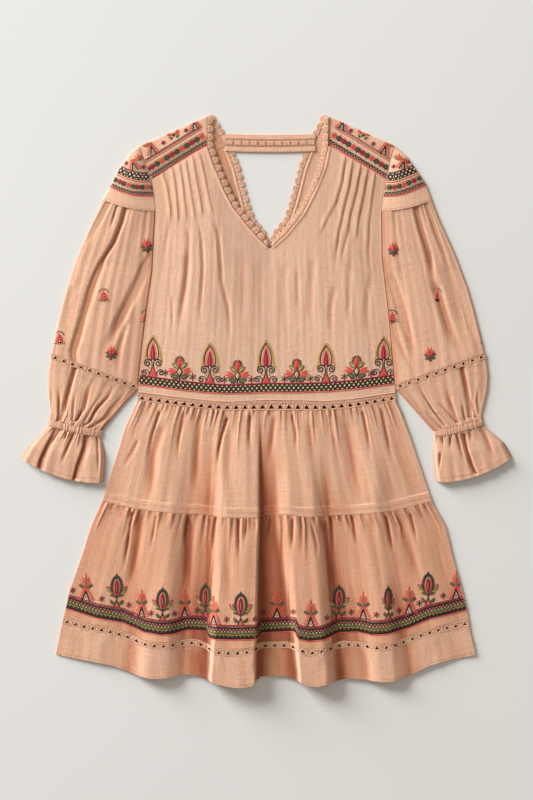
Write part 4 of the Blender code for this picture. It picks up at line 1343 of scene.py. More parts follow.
def bud(work, place):
    """Waist motif: a bud over leaves, side petals and a diamond."""
    motif = Motif(work, place)
    motif.rays((0, 20.0), 3.6, 5.2, range(-110, 111, 20), 1.0, "black")
    rim = [(3.3 * math.sin(a), 20.0 + 3.6 * math.cos(a)) for a in np.linspace(-1.9, 1.9, 14)]
    motif.line(rim, 0.9, "black")
    motif.petal((0, 12.5), (0, 24.0), 5.6, "coral", blunt=0.3)
    motif.petal((0, 12.0), (0, 18.0), 2.0, "crimson", relief=0.8)
    motif.pair((1.6, 11.6), (7.8, 17.6), 5.6, "olive", 0.12)
    motif.pair((3.2, 12.6), (5.0, 18.6), 3.0, "olive", -0.1, relief=0.6)
    motif.pair((2.2, 12.4), (6.2, 16.4), 1.4, "straw", 0.1, relief=0.8)
    for end in ((10.6, 13.0), (12.2, 9.8), (10.2, 7.2)):
        motif.pair((3.0, 9.4), end, 3.0, "coral")
    motif.pair((1.2, 3.6), (9.4, 4.8), 5.0, "green", 0.08)
    motif.pair((1.2, 2.2), (7.0, 1.8), 2.6, "green", 0.08)
    motif.pair((2.2, 3.6), (7.6, 4.6), 1.8, "olive", relief=0.8)
    motif.patch([(0, 15.0), (3.8, 9.0), (0, 2.8), (-3.8, 9.0)], "black", relief=0.35, inner=0.8)
    motif.patch([(0, 13.2), (2.6, 9.0), (0, 4.8), (-2.6, 9.0)], "straw", relief=0.65)
    motif.line([(0, 10.6), (0, 7.2)], 0.8, "olive", relief=0.8)
    motif.line([(0, 3.6), (0, 0.2)], 1.2, "black")


def arch(work, place, wide, turn=0.0, size=PIXEL):
    """A black arch with a cream middle and coral rays."""
    motif = Motif(work, place, size, turn)
    for share in np.linspace(0.05, 1, 6):
        x, y = 5.0 * wide * (1 - share) + 0.2, 10.2 * share
        motif.pair((x + 0.2, y), (x + 4.0 - 1.8 * share, y + 1.4 + 3.0 * share), 1.75, "coral", steps=3)
    motif.petal((0, 10.0), (0, 14.6), 2.0, "coral", steps=3)
    motif.patch([(-2.6 * wide, 0.3), (2.6 * wide, 0.3), (0, 6.0)], "cream", relief=0.3)
    motif.pair_line([(3.8 * wide, 0.0), (1.8 * wide, 5.2), (0, 9.8)], 1.5, "black", relief=0.6)
    motif.pair_line([(1.4 * wide, 0.4), (0, 4.2)], 0.8, "black", relief=0.55)


def sprig(work, place, wide):
    """Hem motif: a leafy sprig standing on an arch."""
    arch(work, place, wide)
    motif = Motif(work, place)
    motif.petal((0, 12.0), (0, 23.5), 2.6, "olive")
    motif.line([(0, 11.0), (0, 21.5)], 0.8, "green", relief=0.7)
    for low, high, reach in ((14.6, 18.0, 5.6), (17.0, 20.8, 4.8), (19.4, 23.6, 3.6)):
        motif.pair((0.7, low), (reach * wide, high), 2.0, "coral")
    motif.petal((0, 21.6), (0, 28.0), 2.0, "coral")
    motif.pair((0.9, 12.0), (7.2 * wide, 15.6), 3.8, "green", 0.1)
    motif.pair((1.6, 12.3), (4.9 * wide, 14.0), 0.7, "olive", 0.1, relief=0.8)


def urn(work, place, wide):
    """Hem motif: a pointed oval with a frilled edge over wings and leaves."""
    motif = Motif(work, place, PIXEL * 1.12)
    u = np.linspace(0.0, math.pi, 15)
    rim = [(4.3 * wide * math.sin(a), 18.2 - 8.6 * math.cos(a)) for a in u]
    for x, y in rim[4:-1]:
        away = np.array([x / wide, (y - 16.5) * 0.62])
        away /= np.linalg.norm(away)
        motif.pair((x, y), (x + away[0] * 2.0, y + away[1] * 2.2), 1.7, "teal", steps=2)
    motif.pair_line(rim, 2.1, "teal")
    motif.petal((0, 26.0), (0, 30.6), 2.0, "teal", steps=3)
    turns = np.linspace(0, 2 * math.pi, 16, endpoint=False)
    oval = [(2.9 * wide * math.sin(a), 17.4 - 7.6 * math.cos(a)) for a in turns]
    motif.patch(oval, "coral", relief=0.45, inner=0.72)
    motif.petal((0, 10.8), (0, 24.4), 4.9 * wide, "maroon", relief=0.8)
    motif.petal((0, 13.0), (0, 22.0), 1.8 * wide, "olive", relief=0.95)
    motif.pair((2.8 * wide, 12.0), (8.6 * wide, 17.4), 2.6, "olive", -0.1)
    motif.pair((3.2 * wide, 12.4), (7.6 * wide, 14.2), 2.0, "gold", -0.1)
    motif.pair((6.4 * wide, 16.6), (6.9 * wide, 19.6), 2.2, "coral", steps=3)
    motif.pair((4.9 * wide, 15.6), (4.8 * wide, 18.2), 1.6, "maroon", steps=3)
    motif.pair((8.4 * wide, 17.2), (8.9 * wide, 19.4), 1.2, "maroon", steps=3)
    motif.pair((1.0, 9.4), (6.0 * wide, 11.0), 2.4, "green", 0.15)
    motif.pair((1.0, 3.6), (5.6 * wide, 7.2), 3.2, "green", -0.2)
    motif.line([(0, 3.0), (0, 11.5)], 1.2, "teal")
    motif.patch([(-2.0, 0.2), (2.0, 0.2), (0, 6.0)], "coral")
    motif.pair_line([(3.0, 0.0), (1.6, 3.0), (0.3, 6.6)], 1.0, "teal")


def small_flower(work, place, turn, petals, wide):
    """Sleeve motif: a fan of petals over two pairs of leaves and a dot."""
    motif = Motif(work, place, PIXEL, turn)
    for angle, reach in ((-48, 6.6), (-30, 8.6), (-10, 10.0), (10, 10.0), (30, 8.6), (48, 6.6)):
        way = math.radians(angle)
        thread = petals if abs(angle) < 40 else "crimson"
        motif.petal((0, 4.2), (math.sin(way) * reach * wide, 4.2 + math.cos(way) * reach), 2.1, thread)
    motif.petal((0, 4.0), (0, 11.0), 1.4, "crimson", relief=0.8)
    motif.pair((0.4, 2.8), (6.2 * wide, 7.0), 3.0, "green", 0.1)
    motif.pair((0.4, 2.0), (5.6 * wide, 2.8), 2.4, "green", 0.1)
    motif.line([(0, 1.8), (0, 7.6)], 1.0, "green", relief=0.7)
    motif.dot((0, 1.0), 1.5, "crimson")


def small_tree(work, place, wide):
    """Sleeve motif: a red tree under a black arch, on black feet."""
    motif = Motif(work, place)
    motif.rays((0, 8.6), 4.0, 5.6, range(-70, 71, 20), 1.1 * wide, "black")
    for low, reach in ((3.0, 4.4), (5.4, 3.5), (7.8, 2.4)):
        motif.pair((0, low), (reach * wide, low + 1.6), 2.2, "coral")
        motif.pair((0, low - 0.6), (reach * wide * 0.7, low + 0.4), 1.4, "crimson", relief=0.7)
    motif.petal((0, 7.6), (0, 12.0), 2.0, "coral")
    for x in (1.0, 3.2, 5.0):
        motif.pair((x * wide, 3.2 - 0.2 * x), (x * wide * 1.1, -0.4 + 0.35 * x), 1.1, "black", steps=3)


NORMAL_BLUR = 9


class Band:
    """Rows of embroidery along a route, each at its own distance, in the photo's lengths, from it."""

    def __init__(self, work, route, upright=False):
        self.work = work
        self.route = resample(route, 1.0)
        self.length = run_length(self.route)
        half = NORMAL_BLUR // 2
        padded = np.pad(normals_of(self.route), ((half, half), (0, 0)), mode="edge")
        kernel = np.ones(NORMAL_BLUR) / NORMAL_BLUR
        self.normal = np.stack([np.convolve(padded[:, k], kernel, "valid") for k in range(2)], -1)
        if upright:
            self.normal = np.tile((0.0, 1.0), (len(self.route), 1))

    def at(self, along, off):
        off = np.asarray(off, float)[..., None] * PIXEL
        line = np.stack([np.interp(along, self.length, self.route[:, k]) for k in range(2)], -1)
        aside = np.stack([np.interp(along, self.length, self.normal[:, k]) for k in range(2)], -1)
        return line + aside * off

    def places(self, pitch, shift=0.0):
        """Middles of the cells of about the pitch, in whole number along the route."""
        count = max(1, round(self.length[-1] / (pitch * PIXEL)))
        return (np.arange(count) + 0.5 + shift) * self.length[-1] / count

    def stripe(self, off, width, thread, relief=0.3):
        along = np.arange(0, self.length[-1] + 1.5, 1.5)
        line = self.at(along, np.full(len(along), off))
        self.work.ribbon(line, width * PIXEL / 2, thread, relief)

    def dashes(self, off, length, width, pitch, thread, slant=0.0, relief=0.5):
        """Short stitches along the band, or across it when slant is 1."""
        reach = length * PIXEL / 2
        for at in self.places(pitch):
            start = self.at(at - reach * (1 - slant), off - length / 2 * slant)
            end = self.at(at + reach * (1 - slant), off + length / 2 * slant)
            self.work.petal(start, end, width * PIXEL, thread, steps=2, relief=relief, blunt=0.5)

    def shapes(self, off, outline, pitch, thread, relief, shift=0.0):
        """A filled outline repeated; its points are (along, up) in the photo's lengths."""
        shape = np.array(outline, float)
        for at in self.places(pitch, shift):
            self.work.patch(self.at(at + shape[:, 0] * PIXEL, off + shape[:, 1]), thread, relief)

    def zigzag(self, off, height, pitch, width, thread, relief=0.5):
        ends = self.places(pitch / 2)
        offs = off + height / 2 * np.where(np.arange(len(ends)) % 2, 1, -1)
        self.work.line(self.at(ends, offs), width * PIXEL, thread, relief, step=2.5)


DIAMOND = ((-1.0, 0.0), (0.0, -1.0), (1.0, 0.0), (0.0, 1.0))


def diamond(wide, tall):
    return [(x * wide, y * tall) for x, y in DIAMOND]


def lattice(band, middle, tall, pitch, thread):
    """A black band with three offset rows of small diamonds."""
    band.stripe(middle, tall, "black", 0.3)
    for off, shift, size in ((0.34, 0.0, 0.11), (0.0, 0.5, 0.21), (-0.34, 0.0, 0.11)):
        band.shapes(middle + tall * off, diamond(pitch * 0.3, tall * size), pitch, thread, 0.6, shift)


# The waist border's top line, and each motif's place in the picture; a spear's last number is its height
WAIST_TOP = spots((137.5, 375.7), (158.3, 378.3), (179.3, 381.2), (201.3, 383.6), (225.2, 385.3),
                  (247, 384.8), (269, 383.8), (298.3, 384), (327, 383.1), (355.7, 380.7), (395, 375.2))
SPEARS = ((153, 377.4, 40.5), (210, 384.2, 40), (266, 384.2, 42.5), (326, 383.4, 39), (383.5, 377, 39.5))
BUDS = ((179.8, 381.5), (237.7, 385.4), (296.8, 384.2), (356.6, 380.9))
WAIST_STARS = ((165.4, 373.5), (192.7, 377.5), (224.3, 380.3), (251.5, 380.2), (284.4, 379.4),
               (310.2, 379.2), (344.2, 377.4), (371, 374.3))


def waist_border():
    work = Needlework()
    band = Band(work, WAIST_TOP, upright=True)
    band.stripe(0.0, 1.3, "crimson", 0.55)
    lattice(band, -4.6, 7.6, 4.6, "straw")
    band.dashes(-9.3, 2.0, 1.35, 1.6, "coral", relief=0.55)
    for x, y, tall in SPEARS:
        spear(work, spots((x, y))[0], tall)
    for x, y in BUDS:
        bud(work, spots((x, y))[0])
    for x, y in WAIST_STARS:
        star(work, spots((x, y))[0])
    return work


# The hem border's top line, and each motif's place along it, with its width where that differs
HEM_TOP = spots((64, 593.4), (69.5, 595), (96, 603.5), (124, 608.4), (145, 617.5), (162, 620.3),
                (174.7, 619), (188.7, 615.4), (206.4, 616.6), (209.2, 623.6), (233.6, 624.5),
                (258.4, 623.8), (261, 618.4), (295.4, 616.8), (298.4, 623.8), (309, 626), (323, 624.5),
                (338.6, 618.2), (358.2, 617.5), (372.3, 620.3), (386.3, 619.6), (407.3, 614),
                (428.4, 605), (462, 597), (468, 595.5))
SPRIGS = ((86, 1.0), (142, 0.8), (185, 0.8), (214, 0.8), (277, 1.0), (310.5, 1.0), (363, 0.9), (409, 1.0),
          (456, 0.9))
URNS = ((117, 1.0), (163, 1.0), (205.6, 0.9), (241, 1.1), (339, 1.0), (388, 0.6), (428, 1.0))
HEM_STARS = (73, 102, 129, 151.5, 175, 197.5, 227, 255, 263, 293, 327, 351, 376, 399, 419, 443)


def over_hem_line(pixel_x, rise):
    """A place some millimetres above the hem border's top line."""
    x = (pixel_x - MIDDLE[0]) * PIXEL
    return np.array([x, np.interp(x, *HEM_TOP.T) + rise])


def hem_border():
    work = Needlework()
    band = Band(work, HEM_TOP, upright=True)
    band.dashes(-0.2, 1.6, 1.1, 1.8, "maroon")
    band.stripe(-1.4, 0.9, "crimson")
    band.stripe(-2.9, 1.5, "black")
    band.stripe(-5.4, 3.6, "teal", 0.25)
    band.shapes(-4.9, diamond(1.0, 1.15), 3.4, "coral", 0.7)
    band.shapes(-6.6, diamond(0.8, 0.7), 3.4, "cream", 0.6, 0.5)
    band.stripe(-8.6, 3.0, "green", 0.3)
    band.dashes(-9.2, 2.6, 0.9, 3.4, "black", 0.9, 0.5)
    band.zigzag(-8.0, 1.4, 3.4, 0.8, "olive", 0.55)
    band.dashes(-9.8, 2.2, 1.2, 3.4, "gold", relief=0.5)
    band.stripe(-12.2, 3.8, "black", 0.3)
    cusp = [(-1.0, 1.5), (1.0, 1.5), (0.35, -0.4), (-0.35, -0.4)]
    band.shapes(-11.7, cusp, 4.2, "olive", 0.6)
    band.dashes(-14.8, 1.7, 1.2, 1.5, "coral")
    for x, wide in SPRIGS:
        sprig(work, over_hem_line(x, -1.2), wide)
    for x, wide in URNS:
        urn(work, over_hem_line(x, -1.2), wide)
    for x in HEM_STARS:
        star(work, over_hem_line(x, 5.5 * PIXEL), 3.4)
    return work


def shoulder_rows(band, low, high):
    """The yoke's and cap's rows between the coral picot edge at low and the top row at high."""
    span = (high - low) / 17.0

    def up(share):
        return low + share * span

    band.dashes(up(0.2), 1.6, 1.3 * span, 1.5, "coral")
    band.stripe(up(1.3), 0.7 * span, "crimson")
    band.stripe(up(4.4), 0.5 * span, "black", 0.35)
    band.zigzag(up(3.0), 3.0 * span, 3.2, 1.0, "black")
    for share in (5.2, 6.7, 11.9, 13.2):
        band.stripe(up(share), 0.7 * span, "cream", 0.35)
    for share in (7.5, 11.1):
        band.dashes(up(share), 1.6, 0.6 * span, 1.9, "coral")
    band.stripe(up(5.95), 0.5 * span, "bronze", 0.5)
    for k, at in enumerate(band.places(5.6)):
        motif = Motif(band.work, band.at(at, up(9.3)))
        thread = "teal" if k % 2 else ("coral", "crimson")[k // 2 % 2]
        motif.rays((0, 0), 0.3, 3.1 * span, range(22, 382, 45), 2.1, thread)
        motif.dot((0, 0), 0.8, "olive" if k % 2 else "maroon")
    band.stripe(up(12.55), 0.5 * span, "bronze", 0.5)


YOKE_MOTIFS = {
    "left": {"arches": ((196.0, 130.6), (153.8, 155.2)), "flower": (175.2, 140.6),
             "stars": ((186.2, 131.2), (163.6, 143.6)), "leaf": (147.6, 147.5)},
    "right": {"arches": ((340.9, 130.6), (383.0, 155.2)), "flower": (361.6, 140.6),
              "stars": ((350.8, 131.6), (373.2, 144.6)), "leaf": (389.0, 147.5)},
}
YOKE_EDGES = {
    "left": spots((145.5, 184.2), (152.7, 180), (207.2, 146.7), (210, 145)),
    "right": spots((326.5, 144.2), (329.7, 146), (385.4, 180), (392, 184)),
}
SHOULDER_TURN = 0.30


def yoke_work(which):
    work = Needlework()
    band = Band(work, YOKE_EDGES[which])
    shoulder_rows(band, 0.4, 19.0)
    band.dashes(17.4, 1.5, 1.4, 1.9, "coral")
    band.dashes(19.1, 1.6, 1.0, 1.8, "maroon")
    band.stripe(20.4, 0.8, "maroon")
    motifs = YOKE_MOTIFS[which]
    turn = -SHOULDER_TURN if which == "left" else SHOULDER_TURN
    for x, y in motifs["arches"]:
        arch(work, spots((x, y))[0], 0.9, -turn, PIXEL * 0.86)
    flower = Motif(work, spots(motifs["flower"])[0], PIXEL * 0.74, -turn)
    flower.patch([(0, 14.0), (3.4, 8.6), (0, 3.2), (-3.4, 8.6)], "black", relief=0.35, inner=0.8)
    flower.patch([(0, 12.4), (2.2, 8.6), (0, 5.0), (-2.2, 8.6)], "olive", relief=0.65)
    flower.patch([(0, 10.4), (1.1, 8.6), (0, 6.8), (-1.1, 8.6)], "gold", relief=0.85)
    for start, end, thread in (
        (8.0, (8.6, 12.4), "coral"),
        (8.0, (9.2, 9.4), "coral"),
        (4.4, (7.8, 5.2), "olive"),
        (4.4, (5.6, 2.0), "green"),
    ):
        flower.pair((2.4, start), end, 3.4, thread)
    flower.pair((0.6, 13.6), (3.6, 17.6), 2.4, "coral")
    flower.petal((0, 13.6), (0, 18.2), 2.2, "olive")
    for x, y in motifs["stars"]:
        star(work, spots((x, y))[0], 2.7, "crimson")
    leaf = Motif(work, spots(motifs["leaf"])[0], PIXEL, -turn)
    leaf.pair((0, 0), (4.8, 3.4), 2.4, "olive")
    leaf.petal((0, 0.5), (0, 5.6), 2.2, "coral")
    leaf.pair((0, 0.8), (2.6, 4.6), 1.7, "coral")
    return work


CAP_EDGES = {
    "left": spots((104, 184.5), (109.7, 187.9), (119.6, 192.9), (132.9, 197), (143, 197.6), (156, 197.2)),
    "right": spots((381, 197.8), (395.8, 197.6), (404.5, 195.6), (412.4, 192.5), (425.7, 186.6),
                   (431, 184)),
}
CAP_MOTIFS = {
    "left": {"arch": (135.6, 171.6), "sprig": (139.6, 161.4), "stars": ((126.6, 164.0), (143.6, 168.0))},
    "right": {"arch": (401.4, 170.4), "sprig": (397.2, 161.0), "stars": ((393.4, 167.4), (408.6, 162.4))},
}


def cap_work(which):
    work = Needlework()
    band = Band(work, CAP_EDGES[which])
    shoulder_rows(band, 0.4, 16.6)
    band.dashes(14.6, 1.6, 1.3, 1.5, "coral")
    lattice(band, 19.8, 7.4, 4.6, "cream")
    band.dashes(24.2, 1.6, 1.0, 1.7, "maroon")
    motifs = CAP_MOTIFS[which]
    turn = SHOULDER_TURN if which == "left" else -SHOULDER_TURN
    arch(work, spots(motifs["arch"])[0], 0.9, turn, PIXEL * 0.85)
    for x, y in motifs["stars"]:
        star(work, spots((x, y))[0], 2.5, "crimson")
    top = Motif(work, spots(motifs["sprig"])[0], PIXEL, turn)
    top.pair((0, 0), (5.0, 3.0), 2.2, "olive")
    for end in ((-3.4, 5.4), (0, 6.8), (3.4, 5.4)):
        top.petal((0, 0.6), end, 2.0, "coral")
    return work


SLEEVE_FLOWERS = {
    "left": ((148, 253.5, 0.15, "coral", 1.0), (111, 360.5, -0.1, "coral", 1.0)),
    "right": ((393.4, 257, 0.0, "coral", 0.9), (430.4, 362, 0.1, "coral", 1.0)),
}
SLEEVE_TREES = {
    "left": ((104, 303, 1.0), (59.5, 345.5, 1.0), (146.5, 324, 1.0)),
    "right": ((392, 324, 1.0), (437, 302.5, 0.4), (483.5, 345, 0.6)),
}


def sleeve_work(which):
    work = Needlework()
    for x, y, turn, petals, wide in SLEEVE_FLOWERS[which]:
        small_flower(work, spots((x, y))[0], turn, petals, wide)
    for x, y, wide in SLEEVE_TREES[which]:
        small_tree(work, spots((x, y))[0], wide)
    return work


def sew_on(work, name, front, back):
    work.lay(name + "_embroidery", front)
    work.lay(name + "_embroidery_back", back, above=False)


# Crochet lace, neck binding, strap and sewing stitches


# Painted shade on the back lace's upper side, seen dark through the front lace's holes
BACK_LACE_PAINTED_SHADE = 2.0


def band_plate(node, plan, floor, wall, count, hole, flat=None, staggered=False):
    """A lace band cut through by a row of triangles; hole is its width, its apex and its base as shares."""
    width, apex, base = hole
    left, right = (1 - width) / 2, (1 + width) / 2
    offsets = np.array([0, left / 2, left, 0.5, right, (1 + right) / 2])
    lead = 1 if staggered else 0
    cells = count - lead
    s = (np.arange(cells)[:, None] + offsets).ravel() + lead / 2
    s = np.concatenate([np.zeros(lead), s, [count - lead / 2], np.full(lead, count)]) / count
    t = np.array([0, apex / 2, apex, base, (1 + base) / 2, 1])
    x, y, level_s = plan(s, t)
    columns, inside = len(s), len(s) * len(t)
    low_side = floor(x, y, level_s)
    outer = np.stack([x, y, low_side + wall], -1).reshape(-1, 3)
    inner = np.stack([x, y, low_side], -1).reshape(-1, 3)
    r, c = np.meshgrid(np.arange(len(t) - 1), np.arange(columns - 1), indexing="ij")
    place = (c - lead) % 6
    cut = (r == 2) & ((place == 2) | (place == 3)) & (c >= lead) & (c < 6 * cells + lead)
    a = (r * columns + c)[~cut]
    quads = np.stack([a, a + columns, a + columns + 1, a + 1], -1)
    tip = 2 * columns + 6 * np.arange(cells) + 3 + lead
    low = tip + columns
    keep = np.concatenate([np.stack([tip - 1, low - 1, tip], -1), np.stack([tip, low + 1, tip + 1], -1)])
    faces = [quads, quads[:, ::-1] + inside, keep, keep[:, ::-1] + inside]
    for first, second in ((tip, low - 1), (low + 1, tip), (low - 1, low), (low, low + 1)):
        faces.append(np.stack([first, second, second + inside, first + inside], -1))
    c = np.arange(columns - 1)
    last = (len(t) - 1) * columns
    faces.append(np.stack([c, c + 1, inside + c + 1, inside + c], -1))
    faces.append(np.stack([last + c, inside + last + c, inside + last + c + 1, last + c + 1], -1))
    r = np.arange(len(t) - 1) * columns
    faces.append(np.stack([r, inside + r, inside + r + columns, r + columns], -1))
    b = r + columns - 1
    faces.append(np.stack([b, b + columns, inside + b + columns, inside + b], -1))
    points = np.concatenate([outer, inner])
    area = (1 - width * (base - apex) / 2) * flat[0] * flat[1] if flat else None
    faces = facing_out(points, faces)
    obj = make_object(node + "_crochet", points, faces, [lace_ground_painted_shade], uvs=points[:, :2] * MM)
    # Painted shade on the back plate's upper side, inside the garment
    if staggered:
        store_painted_shade(obj, np.repeat((BACK_LACE_PAINTED_SHADE, 0.0), inside))
    return finish_piece(obj, node, "lace", flat, area)


def band_threads(node, target, plan, count, hole, above, shift=0.0):
    """Crochet threads on a lace band: rims round its triangles, chain rows and a mesh above them."""
    width, apex, base = hole
    work = Needlework()

    def thread(*places, wide=0.8, relief=0.45, step=3.0):
        """A thread through places given in cells along the band and shares down it."""
        along, down = np.array(places, float).T
        x, y = plan(along / count, down)[:2]
        work.line(np.stack([np.diag(x), np.diag(y)], -1), wide, "lace", relief, step)

    half, high, low = width / 2 + 0.06, apex - 0.10, base + 0.07
    for k in range(count - round(2 * shift)):
        middle = k + 0.5 + shift
        thread((middle, high), (middle - half, low), (middle + half, low), (middle, high), step=1.6)
    mesh_foot = apex - 0.12
    for k in range(count):
        for at in (k, k + 0.25, k + 0.5, k + 0.75):
            thread((at, 0.06), (at + 0.125, mesh_foot))
            thread((at + 0.125, mesh_foot), (at + 0.25, 0.06))
        for at in (k - 0.04, k + 0.06, k + 0.94, k + 1.04):
            if 0 <= at <= count and shift == 0:
                thread((at, apex + 0.05), (at, base - 0.05))
    for level in (0.04, mesh_foot, 0.95):
        for at in np.arange(6 * count) / 6:
            thread((at + 0.02, level), (at + 0.14, level), wide=1.0, relief=0.5)
    work.lay(node + "_threads", target, above)


def level_at(height):
    """A level floor or top for a lace band."""
    return lambda x, y, s: np.full_like(x, height)


def body_lace(name, top, foot, hole, puff, flat):
    """A lace band's front and back, between two seams of the body."""
    def plan(s, t):
        x, y, s_grid, _ = body_plan(top, foot, s, t)
        return x, y, s_grid

    def floor(x, y, s):
        return base_height(x, y, puff) - FRONT_WALL

    front = band_plate(name + "_front", plan, floor, FRONT_WALL, top.spans, hole, flat)
    band_threads(name + "_front", front, plan, top.spans, hole, True)
    back = band_plate(name + "_back", plan, level_at(UNDERSIDE_RELIEF), BACK_WALL - UNDERSIDE_RELIEF,
                      top.spans, hole, flat, staggered=True)
    band_threads(name + "_back", back, plan, top.spans, hole, False, 0.5)


def sleeve_lace(which, rows):
    """The lace band across a sleeve, front and back."""
    def plan(s, t):
        u = np.broadcast_to(s, (len(t), len(s)))
        x, y = section_points(sections(rows, t), u)
        return x, y, u

    def floor(x, y, u):
        return FRONT_FLOOR + SLEEVE_PUFF * arched(u)

    hole = (0.46, 0.22, 0.78)
    front = "sleeve_lace_front_" + which
    back = "sleeve_lace_back_" + which
    plate = band_plate(front, plan, floor, FRONT_WALL, SLEEVE_HOLES, hole)
    band_threads(front, plate, plan, SLEEVE_HOLES, hole, True)
    plate = band_plate(back, plan, level_at(UNDERSIDE_RELIEF), BACK_WALL - UNDERSIDE_RELIEF,
                       SLEEVE_HOLES, hole, staggered=True)
    band_threads(back, plate, plan, SLEEVE_HOLES, hole, False, 0.5)


LACE_GAP = 0.6
ROUND_RADIUS = 6.3
LACE_LIFT = 2.0


def neck_lace(node, path, inward, floor, wall):
    """Scalloped edging: crochet rounds in a row along a narrow heading."""
    route = resample(path, 0.9)
    length = run_length(route)
    count = round(length[-1] / SCALLOP_LENGTH)
    square = inward * normals_of(route)
    end_fade = np.minimum(1, (length[-1] - length) / (2 * SCALLOP_LENGTH) + 0.35)
    place = (length / length[-1] * count) % 1
    bulge = np.sqrt(np.clip(1 - (2 * place - 1) ** 2, 0, 1))
    reach = (4.6 + (NECK_LACE_WIDTH - 4.1) * bulge) * end_fade
    share = np.linspace(0, 1, 7)[:, None]
    grid = route[None] + square[None] * (LACE_GAP + share * reach)[..., None]
    dome = np.sqrt(np.clip(1 - (2 * share - 1.1) ** 2, 0, 1)) * (0.35 + 0.65 * bulge)
    lift = (LACE_LIFT if wall > BACK_WALL else 0.0) * (1 - 0.7 * share) * np.ones_like(bulge)
    outer = np.concatenate([grid, (floor + lift + wall * (0.55 + 0.45 * dome))[..., None]], -1)
    inner = np.concatenate([grid, (floor + lift)[..., None]], -1)
    obj = make_wall(node + "_crochet", outer, inner, grid_lengths(outer), [lace_ground_painted_shade])
    flat = (length[-1] * MM, float(reach.max()) * MM)
    finish_piece(obj, node, "lace", flat, length[-1] * float(np.mean(reach)) * MM**2)
    work = Needlework()
    for k in range(count):
        at = (k + 0.5) * length[-1] / count
        line = np.array([np.interp(at, length, route[:, n]) for n in range(2)])
        aside = np.array([np.interp(at, length, square[:, n]) for n in range(2)])
        size = np.interp(at, length, end_fade)
        middle = line + aside * (LACE_GAP + 0.52 * NECK_LACE_WIDTH * size)
        radius = ROUND_RADIUS * 0.84 * size
        angle = np.linspace(0, 2 * math.pi, 37)
        for share_out, wobble in ((1.0, 0.05), (0.86, 0.0), (0.66, 0.0), (0.42, 0.08)):
            reach_out = radius * (share_out + wobble * np.cos(12 * angle))
            ring = middle + reach_out[:, None] * circle(angle)
            work.ribbon(ring, 0.62, "lace", 0.6, NARROW)
        for way in circle(np.linspace(0, 2 * math.pi, 12, endpoint=False)):
            ends = (middle + way * radius * 0.5, middle + way * radius * 0.95)
            work.petal(*ends, 0.8, "lace", steps=2, relief=0.6)
        work.dot(middle, radius * 0.24, "lace", 0.7)
    for off in (1.0, 2.3):
        chain = route + square * off
        for k in range(0, len(chain) - 3, 3):
            work.petal(chain[k], chain[k + 2], 1.0, "lace", steps=2, relief=0.6)
    work.lay(node + "_threads", obj, above=True)


BINDING_WIDTH = 4.6


def neck_binding(work, path, inward):
    """A folded binding beside the neck edge, with a sewn line along its far side."""
    route = resample(path, 2.0)
    aside = -inward * normals_of(route)
    work.ribbon(route + aside * BINDING_WIDTH * 0.52, BINDING_WIDTH / 2, "cloth", 0.55)
    stitches(work, route + aside * BINDING_WIDTH)


def stitches(work, route, off=0.0, length=1.9, pitch=3.0, width=0.7):
    """Sewing stitches along a route, off millimetres to its left."""
    band = Band(work, route)
    for at in band.places(pitch / PIXEL):
        ends = [band.at(place, off / PIXEL) for place in (at - length / 2, at + length / 2)]
        work.petal(*ends, width, "sewing", steps=2, relief=0.35, blunt=0.6)


STRAP_PIECES = (
    ("strap_upper_band", STRAP_BAND),
    ("strap_lace", STRAP_LACE),
    ("strap_lower_band", STRAP_BAND),
)
STRAP_COLUMNS = 73
STRAP_DIP = 1.5
STRAP_CUT = (0.144, 0.0105)
STRAP_BAND_AREA = 0.0014
LADDER_BLOCKS = 11


def strap():
    """The strap across the back neck: an upper band, a ladder lace and a lower band."""
    x = np.linspace(STRAP_LEFT, STRAP_RIGHT, STRAP_COLUMNS)
    dip = STRAP_DIP * np.sin(math.pi * np.linspace(0, 1, STRAP_COLUMNS))
    top = STRAP_TOP
    for node, height in STRAP_PIECES:
        is_lace = node == "strap_lace"
        down = np.linspace(0, 1, 7)[:, None]
        puff = np.sqrt(np.clip(1 - (2 * down - 1) ** 2, 0, 1)) * (0.5 + 0.1 * np.sin(x / 3.1 + top))
        edge = np.stack([x, top - dip], -1)
        y = top - dip - down * height
        level = np.broadcast_to(FRONT_FLOOR + (0.55 if is_lace else 0.75 + puff), y.shape)
        outer = np.stack([np.broadcast_to(x, y.shape), y, level], -1)
        inner = np.stack([np.broadcast_to(x, y.shape), y, np.full_like(y, FRONT_FLOOR)], -1)
        work = Needlework()
        if is_lace:
            obj = make_wall(node + "_crochet", outer, inner, grid_lengths(outer), [lace_ground_painted_shade])
            finish_piece(obj, node, "lace", STRAP_CUT)
            ladder(work, top - height / 2, x, dip)
            for off in (-1.1, 1.1 - height):
                stitches(work, edge, off, 1.6, 2.2, 1.1)
        else:
            obj = make_wall(node + "_cloth", outer, inner, grid_lengths(outer), [cloth])
            finish_piece(obj, node, "cloth", STRAP_CUT, STRAP_BAND_AREA)
            for off in (-1.2, 1.2 - height):
                stitches(work, edge, off)
        work.lay(node + "_threads", obj)
        top -= height + SEAM_GAP


def ladder(work, level, x, dip):
    """Blocks of five threads along the strap's lace."""
    step = (STRAP_RIGHT - STRAP_LEFT) / LADDER_BLOCKS
    half = step * 0.40
    for k in range(LADDER_BLOCKS):
        middle = STRAP_LEFT + step * (k + 0.5)
        low = level - np.interp(middle, x, dip)
        for up in (-2.6, -1.3, 0.0, 1.3, 2.6):
            rung = [(middle - half, low + up), (middle, low + up + 0.3), (middle + half, low + up)]
            work.ribbon(rung, 0.85, "lace", 0.9, NARROW)


def seam_route(seam, shift):
    """A seam's line, moved up by shift."""
    s, y = seam_stations(seam)
    return np.stack([across(y, s), y + shift], -1)


